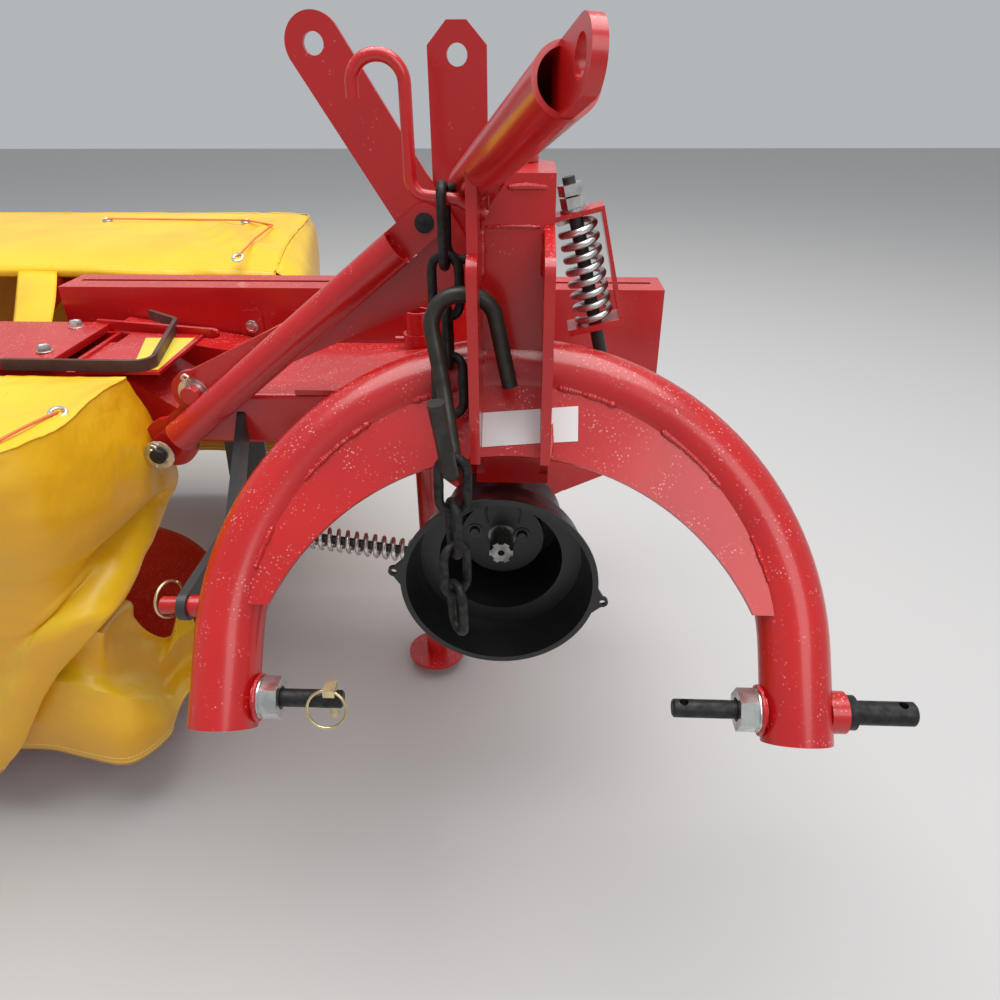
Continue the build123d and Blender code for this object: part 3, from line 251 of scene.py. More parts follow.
# Metal and worn coats: one noise drives colour, roughness and a fine bump
def metal(name, colour, dark, rough, scale=60.0, metallic=1.0):
    item, tree, skin = shader(name)
    coord = node(tree, "TexCoord").outputs["Object"]
    grain = node(tree, "TexNoise", {"Vector": coord}, Scale=scale, Detail=5.0)
    tone = ramp(tree, grain.outputs["Fac"], ((0.35, dark), (0.65, colour)))
    tree.links.new(tone.outputs["Color"], skin.inputs["Base Color"])
    wear = ramp(tree, grain.outputs["Fac"], ((0.3, grey(min(1, rough * 1.4))), (0.7, grey(rough * 0.8))))
    tree.links.new(wear.outputs["Color"], skin.inputs["Roughness"])
    bump = node(tree, "Bump", {"Height": grain.outputs["Fac"]}, Strength=0.15, Distance=0.0006)
    tree.links.new(bump.outputs["Normal"], skin.inputs["Normal"])
    skin.inputs["Metallic"].default_value = metallic
    return item


# Coated cloth: fine weave under the coating, soft folds, two stitched rows along the hem, and a painted shade
# of deeper orange on faces that turn from up towards the side or down
def coated(name):
    item, tree, skin = shader(name)
    coord = node(tree, "TexCoord").outputs["Object"]
    drift = node(tree, "TexNoise", {"Vector": coord}, Scale=3.5, Detail=4.0)
    lit = ramp(tree, drift.outputs["Fac"], ((0.3, clothSet["dull"]), (0.62, clothSet["bright"])))
    # painted shade: the normal's height mixes in the shaded colour, most where a face looks sideways or down,
    # none once it looks mostly up
    facing = node(tree, "SeparateXYZ", {"Vector": node(tree, "NewGeometry").outputs["Normal"]})
    turned = ramp(tree, facing.outputs["Z"], ((0.0, grey(0.9)), (0.6, grey(0.0))))
    tone = node(tree, "Mix", {"Factor": turned.outputs["Color"]}, data_type="RGBA")
    tree.links.new(lit.outputs["Color"], tone.inputs[6])
    tone.inputs[7].default_value = clothSet["shaded"]
    run = node(tree, "SeparateXYZ", {"Vector": node(tree, "UVMap", uv_map="UVMap").outputs["UV"]})
    rows = []
    for height in clothSet["stitchRows"]:
        near = node(tree, "Math", {0: run.outputs["Y"]}, operation="COMPARE")
        near.inputs[1].default_value = height
        near.inputs[2].default_value = clothSet["stitchHalf"]
        rows.append(near.outputs[0])
    both = node(tree, "Math", {0: rows[0], 1: rows[1]}, operation="ADD")
    beat = node(tree, "Math", {0: run.outputs["X"]}, operation="MULTIPLY")
    beat.inputs[1].default_value = clothSet["stitchBeat"]
    wave = node(tree, "Math", {0: beat.outputs[0]}, operation="SINE")
    dash = node(tree, "Math", {0: wave.outputs[0]}, operation="GREATER_THAN")
    dash.inputs[1].default_value = -0.5
    stitch = node(tree, "Math", {0: both.outputs[0], 1: dash.outputs[0]}, operation="MULTIPLY")
    sewn = node(tree, "Mix", {"Factor": stitch.outputs[0]}, data_type="RGBA")
    tree.links.new(tone.outputs[2], sewn.inputs[6])
    sewn.inputs[7].default_value = clothSet["thread"]
    tree.links.new(sewn.outputs[2], skin.inputs["Base Color"])
    weave = node(tree, "TexWave", {"Vector": coord}, Scale=clothSet["weaveScale"], Distortion=0.4)
    fold = node(tree, "TexNoise", {"Vector": coord}, Scale=clothSet["foldScale"], Detail=3.0)
    low = node(tree, "Bump", {"Height": fold.outputs["Fac"]}, Strength=0.5, Distance=0.012)
    fine = node(tree, "Bump", {"Height": weave.outputs["Fac"], "Normal": low.outputs["Normal"]},
                Strength=0.05, Distance=0.0004)
    tree.links.new(fine.outputs["Normal"], skin.inputs["Normal"])
    skin.inputs["Roughness"].default_value = 0.36
    skin.inputs["Coat Weight"].default_value = 0.15
    skin.inputs["Coat Roughness"].default_value = 0.2
    return item


def makeMaterials():
    red, deep = (0.54, 0.008, 0.008), (0.44, 0.005, 0.006)
    return {
        "red": painted("redPaint", red, deep),
        "black": painted("blackPaint", (0.035, 0.035, 0.037), (0.022, 0.022, 0.023), 0.42, False, 0.1),
        "zinc": metal("zincPlate", (0.78, 0.78, 0.76), (0.52, 0.52, 0.50), 0.26),
        "pin": metal("pinSteel", (0.035, 0.034, 0.033), (0.016, 0.016, 0.016), 0.45, 90.0, 0.6),
        "chain": metal("chainBlack", (0.030, 0.030, 0.028), (0.012, 0.012, 0.012), 0.5, 120.0, 0.5),
        "hook": metal("hookBlack", (0.045, 0.043, 0.034), (0.022, 0.021, 0.018), 0.38, 50.0, 0.4),
        "steel": metal("bareSteel", (0.40, 0.39, 0.37), (0.22, 0.21, 0.20), 0.42),
        "rust": metal("rustySteel", (0.115, 0.055, 0.045), (0.075, 0.034, 0.028), 0.5, 30.0, 0.2),
        "plastic": painted("blackPlastic", (0.011, 0.011, 0.012), (0.006, 0.006, 0.007), 0.34, False, 0.0),
        "cloth": coated("yellowCloth"),
        "gilt": metal("yellowZinc", (0.72, 0.62, 0.36), (0.50, 0.42, 0.24), 0.3, 50.0),
        "cord": painted("orangeCord", (0.80, 0.20, 0.07), (0.66, 0.15, 0.05), 0.6, False, 0.0),
        "white": painted("whitePlate", (0.80, 0.80, 0.79), (0.72, 0.72, 0.71), 0.4, False, 0.1),
        "yellow": painted("yellowPlate", (0.80, 0.64, 0.06), (0.72, 0.56, 0.04), 0.35, True, 0.2),
    }


# nodes that aren't red, and that no cloth or chain piece replaces
byMaterial = {
    "black": ["latch_strut", "side_plates", "side_rod", "relief_rod"],
    "zinc": ["pin_nuts", "relief_nuts", "relief_spring", "side_spring", "arm_pin"],
    "gilt": ["lynch_pin"],
    "pin": ["hitch_pins", "hinge_bolt", "knee_bolt"],
    "hook": ["chain_hook"],
    "steel": ["knives_inner", "knives_outer", "skid_inner", "skid_outer", "input_shaft"],
    "rust": ["catch_bar"],
    "plastic": ["bell_guard", "bell_flange"],
}

camera()
studio()
skins = makeMaterials()
for item in nodes.values():
    item.data.materials.clear()
    item.data.materials.append(skins["red"])
for skin, names in byMaterial.items():
    for name in names:
        nodes[name].data.materials[0] = skins[skin]
print("frame dressed")


# Shapes: surfaces through tables of points in millimetres
def through(table, count):
    # cubic through every row along the first axis: p = (2b + (c-a)t + (2a-5b+4c-d)t^2 + (3b-a-3c+d)t^3) / 2
    rows = np.asarray(table, float)
    rows = np.concatenate((2 * rows[:1] - rows[1:2], rows, 2 * rows[-1:] - rows[-2:-1]))
    t = (np.arange(count) / count).reshape((-1,) + (1,) * (rows.ndim - 1))
    parts = []
    for a, b, c, d in zip(rows, rows[1:], rows[2:], rows[3:]):
        parts.append((2 * b + (c - a) * t + (2 * a - 5 * b + 4 * c - d) * t ** 2
                      + (3 * b - a - 3 * c + d) * t ** 3) / 2)
    return np.concatenate(parts + [rows[-2:-1]])


def patch(table, down, along):
    fine = through(np.asarray(table, float), down)
    return through(fine.transpose(1, 0, 2), along).transpose(1, 0, 2)


def bodyOf(name):
    return body_of(nodes[name])[0]


def newObject(name, points, faces, skin, uv=None):
    mesh = bpy.data.meshes.new(name)
    mesh.from_pydata([tuple(p) for p in np.asarray(points) / 1000], [], faces)
    if uv is not None:
        layer = mesh.uv_layers.new(name="UVMap")
        order = np.empty(len(mesh.loops), np.int32)
        mesh.loops.foreach_get("vertex_index", order)
        layer.data.foreach_set("uv", np.asarray(uv)[order].ravel())
    mesh.polygons.foreach_set("use_smooth", np.ones(len(faces), bool))
    mesh.materials.append(skin)
    mesh.update()
    item = bpy.data.objects.new(name, mesh)
    bpy.context.scene.collection.objects.link(item)
    return item


def gridFaces(rows, cols, first=0, closed=False, flip=False):
    span = cols if closed else cols - 1
    i, j = np.meshgrid(np.arange(rows - 1), np.arange(span), indexing="ij")
    a = first + i * cols + j
    b = first + i * cols + (j + 1) % cols
    quads = np.stack((a, b, b + cols, a + cols), -1).reshape(-1, 4)
    return (quads[:, ::-1] if flip else quads).tolist()


def clothPiece(name, patches, skin):
    # patches are (grid, flip, hemmed); u runs along the rows and v up from the last row, both in metres,
    # with v raised by 10 where the last row is no hem
    points, faces, uv = [], [], []
    count = 0
    for grid, flip, hemmed in patches:
        rows, cols = grid.shape[:2]
        across = np.linalg.norm(np.diff(grid, axis=1), axis=2)
        downward = np.linalg.norm(np.diff(grid, axis=0), axis=2)
        u = np.concatenate((np.zeros((rows, 1)), across.cumsum(1)), 1)
        v = np.concatenate((downward[::-1].cumsum(0)[::-1], np.zeros((1, cols))), 0)
        v += 0 if hemmed else 10000
        points.append(grid.reshape(-1, 3))
        uv.append(np.stack((u, v), -1).reshape(-1, 2) / 1000)
        faces += gridFaces(rows, cols, count, flip=flip)
        count += rows * cols
    item = newObject(name, np.concatenate(points), faces, skin, np.concatenate(uv))
    work = bmesh.new()
    work.from_mesh(item.data)
    bmesh.ops.remove_doubles(work, verts=work.verts, dist=0.0004)
    work.to_mesh(item.data)
    work.free()
    item.data.set_sharp_from_angle(angle=math.radians(clothSet["crease"]))
    wall = item.modifiers.new("wall", "SOLIDIFY")
    wall.thickness = clothSet["thick"] / 1000
    wall.offset = 0
    return item


def wrinkle(grid, size, wave, seed):
    # moves each point along the surface normal by smooth noise
    up = np.gradient(grid, axis=0)
    side = np.gradient(grid, axis=1)
    normal = np.cross(side, up)
    normal /= np.linalg.norm(normal, axis=2, keepdims=True) + 1e-9
    flat = grid.reshape(-1, 3) / wave + seed
    push = np.array([noise.fractal(Vector(p), 0.8, 2.1, 3) for p in flat]).reshape(grid.shape[:2])
    return grid + normal * (push * size)[..., None]


# Front cover: top, skirt with its tucked corner, and the corner that hangs free
frontSet = {
    "rowHeights": (262, 205, 142, 92, 55, 15, -40, -95, -165, -255, -338),
    "rowFronts": (97, 98, 110, 124, 133, 139, 145, 149, 153, 158, 162),
    "left": -2318,
    "rear": 397,
    "bulge": 14,
    "folds": 13,
    "foldDepth": 9.0,
    "foldStep": 92.0,
    "skirtWrinkle": (2.4, 70.0, 3.1),
    "topWrinkle": (1.6, 60.0, 8.2),
    "topLift": (0, 1.0, 0.4, -0.8, 0.2, 1.2, 0),
    "topSpread": (0, 22, 50, 88, 140, 190),
}


def frontCover(skin):
    s = frontSet
    # right end of each row: five points round the corner, then the crease, the band and the fold's edge
    corner = (
        ((-880, 98, 262), (-740, 100, 262), (-640, 122, 262), (-603, 165, 262), (-589, 215, 262),
         (-596, 300, 262), (-594, 350, 262), (-588, 388, 260)),
        ((-880, 98, 205), (-740, 100, 205), (-630, 116, 206), (-588, 160, 206), (-574, 225, 205),
         (-573, 310, 204), (-577, 368, 202), (-583, 413, 199)),
        ((-880, 110, 142), (-740, 110, 142), (-626, 120, 142), (-580, 165, 142), (-564, 240, 142),
         (-561, 325, 143), (-566, 380, 144), (-575, 420, 144)),
        ((-880, 124, 92), (-740, 122, 92), (-632, 130, 92), (-586, 172, 92), (-568, 245, 92),
         (-561, 330, 88), (-560, 385, 82), (-566, 429, 74)),
        ((-880, 133, 55), (-740, 132, 55), (-650, 138, 55), (-612, 180, 58), (-600, 265, 68), (-592, 363, 78),
         (-580, 378, 57), (-580, 387, 28)),
        ((-880, 139, 15), (-750, 138, 15), (-668, 140, 15), (-634, 158, 28), (-618, 205, 42), (-606, 267, 49),
         (-583, 280, 36), (-573, 289, 10)),
        ((-890, 145, -40), (-780, 144, -35), (-700, 142, -25), (-650, 146, 0), (-628, 170, 18),
         (-610, 208, 30), (-585, 208, 14), (-574, 212, -14)),
        ((-910, 149, -95), (-820, 148, -90), (-760, 147, -78), (-716, 145, -58), (-684, 143, -38),
         (-658, 140, -20), (-622, 144, -20), (-596, 160, -35)),
        ((-940, 153, -165), (-870, 152, -160), (-820, 151, -150), (-780, 149, -135), (-746, 145, -118),
         (-717, 138, -101), (-697, 137, -110), (-686, 150, -129)),
        ((-980, 158, -255), (-920, 157, -250), (-880, 155, -240), (-845, 153, -228), (-812, 148, -212),
         (-786, 140, -197), (-773, 138, -222), (-771, 150, -259)),
        ((-1010, 162, -338), (-960, 162, -338), (-925, 161, -338), (-900, 160, -338), (-880, 157, -338),
         (-862, 150, -338), (-846, 148, -338), (-838, 158, -338)),
    )
    rows = []
    for k, (z, front, right) in enumerate(zip(s["rowHeights"], s["rowFronts"], corner)):
        low = k / (len(corner) - 1)
        bulge = s["bulge"] * math.sin(math.pi * min(1, low * 1.6))
        row = [(s["left"] - bulge * 0.2, s["rear"] + 40 * low, z), (s["left"] - bulge * 0.5, 300, z),
               (s["left"] - bulge * 0.3, 190, z), (s["left"] + 18, front + 16, z), (s["left"] + 80, front, z)]
        x = s["left"] + 80 + s["foldStep"]
        step = (right[0][0] - 60 - x) / (s["folds"] - 1)
        for n in range(s["folds"]):
            fold = s["foldDepth"] * low * math.sin(1.9 * n + 0.6 * math.sin(2.3 * n) + 0.8 * low)
            row.append((x + step * n, front + fold, z))
        row += list(right)
        ax, ay, az = right[-1]
        under = min(1, max(0, (k - 3) / 2))
        row.append((ax - 12 - 12 * under, ay + 4, max(az - 3 - 10 * under, -340)))
        row.append((ax - 40 - 22 * under, ay + 3 + 14 * under, max(az - 5 - 4 * under, -340)))
        rows.append(row)
    skirt = wrinkle(patch(rows, 6, 6), *s["skirtWrinkle"])
    seam = rows[0][:-2]
    reach = []
    for n, (x, y, z) in enumerate(seam):
        left = len(seam) - 1 - n
        rearX = -592 - s["topSpread"][left] if left < len(s["topSpread"]) else x
        if n < 4:
            rearX = s["left"] + (2, 14, 30, 56)[n]
        reach.append((rearX, s["rear"], 259))
    seam, reach = np.array(seam, float), np.array(reach, float)
    steps = zip(np.linspace(0, 1, 7), s["topLift"])
    table = [seam + (reach - seam) * t + np.array((0, 0, dz)) for t, dz in steps]
    top = wrinkle(patch(table, 6, 6), *s["topWrinkle"])
    top[0] = skirt[0, :top.shape[1]]
    # the corner that hangs free: edge on the skirt, ridge, fold and hem
    rim = (
        ((-800, 250, -70), (-700, 255, -55), (-640, 309, -98), (-640, 314, -139), (-642, 343, -194),
         (-642, 387, -245), (-636, 420, -251), (-632, 436, -213), (-624, 462, -212)),
        ((-790, 190, -90), (-700, 180, -60), (-606, 171, -50), (-622, 205, -97), (-640, 278, -168),
         (-642, 327, -226), (-640, 350, -268), (-628, 410, -262), (-612, 445, -265)),
        ((-800, 176, -150), (-709, 178, -154), (-669, 178, -167), (-628, 185, -187), (-604, 198, -208),
         (-600, 233, -242), (-604, 290, -296), (-612, 345, -318), (-606, 384, -329)),
        ((-855, 203, -338), (-779, 202, -338), (-712, 187, -338), (-646, 175, -338), (-614, 193, -338),
         (-592, 240, -338), (-597, 272, -338), (-603, 306, -338), (-608, 338, -338)),
    )
    edge, ridge, fold, hem = (np.array(line, float) for line in rim)
    back = (edge + ridge) / 2 + np.array((-8, 12, -4))
    scoop = (ridge + fold) / 2 + np.array((-16, 24, -30))
    hang = (fold + hem) / 2 + np.array((9, -11, 0))
    lobes = [patch(lines, 8, 8) for lines in ((edge, back, ridge), (ridge, scoop, fold), (fold, hang, hem))]
    parts = [(skirt, False, True), (top, True, False)]
    parts += [(lobe, False, n == 2) for n, lobe in enumerate(lobes)]
    piece = clothPiece("frontCloth", parts, skin)
    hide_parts("front_cover")
    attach(piece, "front_guard")
    return piece, skirt[0]


front, frontSeam = frontCover(skins["cloth"])
print("front cover hung")


# Rear cover: top with a turned front edge, skirt with a flared right corner, and a short flap
rearSet = {
    "left": -2318,
    "heights": (330, 290, 200, 60, -120, -240, -338),
    "rear": (1398, 1402, 1400, 1386, 1368, 1352, 1340),
    "front": (880, 880, 876, 870, 862, 856, 850),
    "swell": 10,
    "folds": 14,
    "foldDepth": 9,
    "skirtWrinkle": (2.6, 80.0, 5.7),
    "topLift": 2.5,
}


def rearCover(skin):
    s = rearSet
    # right end of each row, from the rear corner to the front edge
    end = (
        ((-720, 1398, 330), (-622, 1398, 330), (-562, 1376, 330), (-542, 1290, 330), (-532, 1180, 330),
         (-520, 1060, 328), (-507, 955, 320), (-500, 882, 302)),
        ((-720, 1402, 290), (-616, 1404, 291), (-550, 1380, 290), (-526, 1290, 289), (-506, 1182, 287),
         (-482, 1062, 283), (-458, 957, 275), (-442, 884, 262)),
        ((-720, 1400, 200), (-618, 1402, 200), (-552, 1378, 200), (-524, 1290, 199), (-500, 1182, 196),
         (-470, 1062, 190), (-448, 957, 180), (-436, 884, 168)),
        ((-720, 1382, 60), (-644, 1376, 60), (-584, 1340, 60), (-546, 1276, 60), (-520, 1175, 60),
         (-496, 1055, 60), (-480, 950, 56), (-470, 878, 50)),
        ((-720, 1366, -120), (-654, 1358, -120), (-600, 1322, -120), (-572, 1260, -120), (-556, 1165, -120),
         (-542, 1045, -120), (-530, 942, -120), (-524, 866, -120)),
        ((-724, 1352, -240), (-662, 1344, -240), (-612, 1308, -240), (-590, 1250, -240), (-584, 1158, -240),
         (-576, 1040, -240), (-568, 938, -240), (-564, 858, -240)),
        ((-728, 1342, -338), (-668, 1332, -338), (-622, 1298, -338), (-606, 1240, -338), (-604, 1150, -338),
         (-602, 1036, -338), (-600, 934, -338), (-600, 850, -338)),
    )
    rows = []
    for k, (z, rear, front, right) in enumerate(zip(s["heights"], s["rear"], s["front"], end)):
        low = k / (len(end) - 1)
        swell = s["swell"] * math.sin(math.pi * min(1, 1.4 * low))
        row = [(s["left"] - swell * 0.2 + 6 * low * math.sin(2.1 * n), front + (rear - front - 50) * n / 4, z)
               for n in range(4)]
        row += [(s["left"] + 6, rear - 70, z), (s["left"] + 22, rear - 20, z), (s["left"] + 70, rear, z)]
        for n in range(s["folds"]):
            x = s["left"] + 160 + n * (right[0][0] - 90 - s["left"] - 160) / (s["folds"] - 1)
            row.append((x, rear + s["foldDepth"] * low * math.sin(1.7 * n + 0.5 * math.sin(2.9 * n)), z))
        rows.append(row + list(right))
    skirt = wrinkle(patch(rows, 6, 6), *s["skirtWrinkle"])
    rim = np.array(rows[0], float)
    side = len(rim) // 2
    left, right = rim[:side + 1], rim[:side - 1:-1]
    pick = np.linspace(0, 1, 16)

    def resample(line):
        run = np.concatenate(((0,), np.linalg.norm(np.diff(line, axis=0), axis=1).cumsum()))
        return np.stack([np.interp(pick * run[-1], run, line[:, i]) for i in range(3)], -1)

    a, b = resample(through(left, 6)), resample(through(right, 6))
    steps = np.concatenate((np.linspace(0, 0.85, 14), np.linspace(0.88, 1, 6)))
    table = np.stack([a + (b - a) * t for t in steps], 1)
    top = patch(table, 5, 4)
    flatX, flatY = top[..., 0], top[..., 1]
    # slow waves of 2 mm, and two sets of short buckles round the right corner
    near = np.exp(-((flatX + 640) / 130) ** 2 - ((flatY - 1150) / 190) ** 2)
    rise = 2.0 * np.sin(flatX / 61 + flatY / 83) + near * (7 * np.sin((flatX * 0.8 + flatY * 0.6) / 17.0)
                                                           + 4 * np.sin((flatX * 0.9 - flatY * 0.5) / 11.0))
    fade = np.clip(np.minimum((flatX - s["left"]) / 60, (1392 - flatY) / 60), 0, 1)
    rise = np.maximum(rise + s["topLift"], -s["topLift"])
    top[..., 2] += rise * fade * np.clip((-505 - flatX) / 60, 0, 1)
    lip = np.stack((top[0], top[0] + (0, -7, -9), top[0] + (0, -8, -30)))
    lip[1:, :, 2] = np.maximum(lip[1:, :, 2], 292)
    flap = patch((((-1034, 874, 303), (-1000, 871, 305), (-952, 874, 303)),
                  ((-985, 770, 276), (-945, 768, 282), (-905, 770, 276)),
                  ((-937, 668, 251), (-900, 668, 254), (-864, 668, 251))), 6, 6)
    parts = [(skirt, True, True), (top, False, False), (through(lip, 4), False, False), (flap, False, False)]
    piece = clothPiece("rearCloth", parts, skin)
    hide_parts("rear_cover")
    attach(piece, "cutter")
    return piece, skirt[0]


rear, rearSeam = rearCover(skins["cloth"])
print("rear cover hung")


# Round sections: a ring of points carried along a line without twist
def tube(line, radius, sides=12, closed=False):
    line = np.asarray(line, float)
    ahead = np.roll(line, -1, 0) - np.roll(line, 1, 0)
    if not closed:
        ahead[0], ahead[-1] = line[1] - line[0], line[-1] - line[-2]
    ahead /= np.linalg.norm(ahead, axis=1, keepdims=True)
    start = np.cross(ahead[0], (0.3, 0.2, 0.93))
    if np.linalg.norm(start) < 0.1:
        start = np.cross(ahead[0], (1, 0, 0))
    side = start / np.linalg.norm(start)
    angle = np.arange(sides) * 2 * math.pi / sides
    rings = []
    size = np.broadcast_to(radius, (len(line),))
    for spot, way, r in zip(line, ahead, size):
        side = side - way * (side @ way)
        side /= np.linalg.norm(side)
        other = np.cross(way, side)
        rings.append(spot + r * (np.cos(angle)[:, None] * side + np.sin(angle)[:, None] * other))
    points = np.array(rings)
    faces = gridFaces(len(line), sides, closed=True)
    if closed:
        shift = np.argmin(np.linalg.norm(points[0] - points[-1][0], axis=1))
        last = (len(line) - 1) * sides
        faces += [[last + j, last + (j + 1) % sides, (j + 1 + shift) % sides, (j + shift) % sides]
                  for j in range(sides)]
    else:
        last = (len(line) - 1) * sides
        faces += [list(range(sides))[::-1], [last + j for j in range(sides)]]
    return points.reshape(-1, 3), faces


def spun(profile, spot, axis, sides=32, corners=0, twist=0.0):
    # profile of (radius, height) pairs turned about axis through spot; corners flattens it to a polygon
    axis = Vector(axis).normalized()
    side = axis.orthogonal().normalized()
    other = axis.cross(side)
    angle = np.arange(sides) * 2 * math.pi / sides + twist
    reach = np.ones(sides)
    if corners:
        part = math.pi / corners
        reach = 1 / np.cos((angle - twist) % (2 * part) - part)
    points = []
    for r, h in profile:
        for a, k in zip(angle, reach):
            points.append(np.array(spot) + np.array(axis) * h
                          + r * k * (math.cos(a) * np.array(side) + math.sin(a) * np.array(other)))
    return np.array(points), gridFaces(len(profile), sides, closed=True)


def joined(name, parts, skin, body):
    points, faces, count = [], [], 0
    for spots, quads in parts:
        points.append(spots)
        faces += [[v + count for v in face] for face in quads]
        count += len(spots)
    item = newObject(name, np.concatenate(points), faces, skin)
    work = bmesh.new()
    work.from_mesh(item.data)
    bmesh.ops.recalc_face_normals(work, faces=work.faces)
    work.to_mesh(item.data)
    work.free()
    item.data.set_sharp_from_angle(angle=math.radians(38))
    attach(item, body)
    return item


def loose(item):
    # the separate bodies of a CAD mesh, each as its points in millimetres
    points = np.empty(len(item.data.vertices) * 3)
    item.data.vertices.foreach_get("co", points)
    points = points.reshape(-1, 3) * 1000
    keys, place = np.unique(np.round(points, 2), axis=0, return_inverse=True)
    place = place.ravel()
    parent = list(range(len(keys)))

    def root(k):
        while parent[k] != k:
            parent[k] = parent[parent[k]]
            k = parent[k]
        return k

    for face in item.data.polygons:
        a, b, c = (root(place[v]) for v in face.vertices[:3])
        parent[b] = a
        parent[root(c)] = a
    groups = {}
    for k in range(len(keys)):
        groups.setdefault(root(k), []).append(keys[k])
    return [np.array(g) for g in groups.values()]


# Chain: each link a bent bar with a slightly thicker weld, on the place of its CAD link
chainSet = {
    "wire": 11.6,
    "wide": 45.0,
    "weld": 0.5,
    "endPlace": (-60.5, 240.5, 512),
    "endHalf": (22.5, 45.0),
    "endLean": 0.12,
}


def link(spots):
    middle = spots.mean(0)
    axes = np.linalg.eigh(np.cov((spots - middle).T))[1]
    long, across = axes[:, 2], axes[:, 1]
    extent = (spots - middle) @ np.stack((long, across), 1)
    middle = middle + long * (extent[:, 0].max() + extent[:, 0].min()) / 2
    middle = middle + across * (extent[:, 1].max() + extent[:, 1].min()) / 2
    half = np.ptp(extent[:, 0]) / 2 - chainSet["wire"] / 2
    turn = chainSet["wide"] / 2 - chainSet["wire"] / 2
    straight = half - turn
    line, sizes = [], []
    for side in (1, -1):
        for t in np.linspace(-1, 1, 9)[:-1]:
            line.append(middle + across * side * turn + long * straight * t * side)
            bump = math.exp(-(t / 0.16) ** 2) if side > 0 else 0
            sizes.append(chainSet["wire"] / 2 + chainSet["weld"] * bump)
        for a in np.linspace(0, math.pi, 13)[:-1]:
            line.append(middle + long * side * (straight + turn * math.sin(a))
                        + across * side * turn * math.cos(a))
            sizes.append(chainSet["wire"] / 2)
    return tube(line, sizes, 12, closed=True)


# one more link, free at its upper end, built on the corners of its box
endX, endY, endZ = chainSet["endPlace"]
halfX, halfZ = chainSet["endHalf"]
endLink = np.array([(endX + x, endY + chainSet["endLean"] * z, endZ + z)
                    for x in (-halfX, halfX) for z in (-halfZ, halfZ)])
thick = (0, chainSet["wire"] / 2, 0)
endLink = np.concatenate((endLink + thick, endLink - thick))
parts = [link(part) for part in loose(nodes["safety_chain"]) + [endLink]]
chain = joined("chainLinks", parts, skins["chain"], "hitch")
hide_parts("safety_chain")
print("chain linked")


# Hardware: bolts with washers, pins with split pins, rings and eyelets
def washer(spot, axis, inner, outer, thick):
    bevel = 0.12 * thick
    profile = ((inner, 0), (outer - bevel, 0), (outer, bevel), (outer, thick - bevel), (outer - bevel, thick),
               (inner, thick), (inner, 0))
    return spun(profile, spot, axis, 36)


def boltHead(spot, axis, flats, height):
    half = flats / 2
    profile = ((half, 0), (half, 0.82 * height), (0.9 * half, height), (0.62 * half, height),
               (0.55 * half, 0.93 * height), (0.02, 0.92 * height))
    return spun(profile, spot, axis, 36, 6, 0.35)


def pinEnd(spot, axis, radius, length):
    lip = min(1.6, radius / 5)
    return spun(((radius, 0), (radius, length - lip), (radius - lip, length), (0.02, length)), spot, axis, 32)


def slab(outline, thick, spot, across, up):
    # flat piece with the given outline, laid in the plane of across and up, thick along their cross product
    across, up = np.array(across, float), np.array(up, float)
    out = np.cross(across, up)
    flat = np.array([np.array(spot) + across * u + up * v for u, v in outline])
    count = len(flat)
    faces = [list(range(count))[::-1], [count + n for n in range(count)]]
    faces += [[n, (n + 1) % count, count + (n + 1) % count, count + n] for n in range(count)]
    return np.concatenate((flat, flat + out * thick)), faces


def ringAt(spot, normal, radius, wire, turns=1.0, start=0.0, rise=0.0):
    normal = Vector(normal).normalized()
    side = normal.orthogonal().normalized()
    other = normal.cross(side)
    count = int(40 * turns)
    closed = turns == 1.0
    angle = start + np.arange(count + (not closed)) * 2 * math.pi * turns / count
    line = [np.array(spot) + radius * (math.cos(a) * np.array(side) + math.sin(a) * np.array(other))
            + np.array(normal) * rise * n / count for n, a in enumerate(angle)]
    return tube(line, wire, 10, closed=closed)


def splitPin(spot, way, length, wire=1.9, gap=3.2):
    # two bent legs and the loop that joins them
    way = Vector(way).normalized()
    side = Vector((0, 1, 0)).cross(way).normalized() * gap
    foot = Vector(spot)
    line = [foot - side * 2.2, foot - side + way * 0.25 * length, foot - side * 0.6 + way * 0.72 * length,
            foot - side * 1.7 + way * 0.86 * length, foot + way * (length + 1),
            foot + side * 1.7 + way * 0.86 * length, foot + side * 0.6 + way * 0.72 * length,
            foot + side + way * 0.25 * length, foot + side * 2.4]
    return tube(through([tuple(p) for p in line], 5), wire, 8)


bolts = [
    # place, direction, washer radius, flats, height
    ((-796, 636, 262), (0.08, 0, 1), 13.5, 19, 9),
    ((-777, 501, 262), (0, 0.06, 1), 13.5, 19, 9),
    ((-516, 744, 232), (0, -1, 0), 12, 17, 8),
]
guardTab = [(-22, -26), (22, -26), (22, 16), (21, 21), (17, 24),
            (11, 25), (-11, 25), (-17, 24), (-21, 21), (-22, 16)]
joined("guardTab", [slab(guardTab, 3.5, (-516, 747.6, 238), (1, 0, 0), (0, 0, 1))], skins["red"], "carrier")
for k, (spot, axis, outer, flats, height) in enumerate(bolts):
    spot = np.array(spot, float)
    way = np.array(axis, float)
    parts = [washer(spot, axis, 5, outer, 2.4), boltHead(spot + way * 2.4, axis, flats, height)]
    joined("plateBolt%d" % (k + 1), parts, skins["zinc"], "cutter" if k < 2 else "carrier")

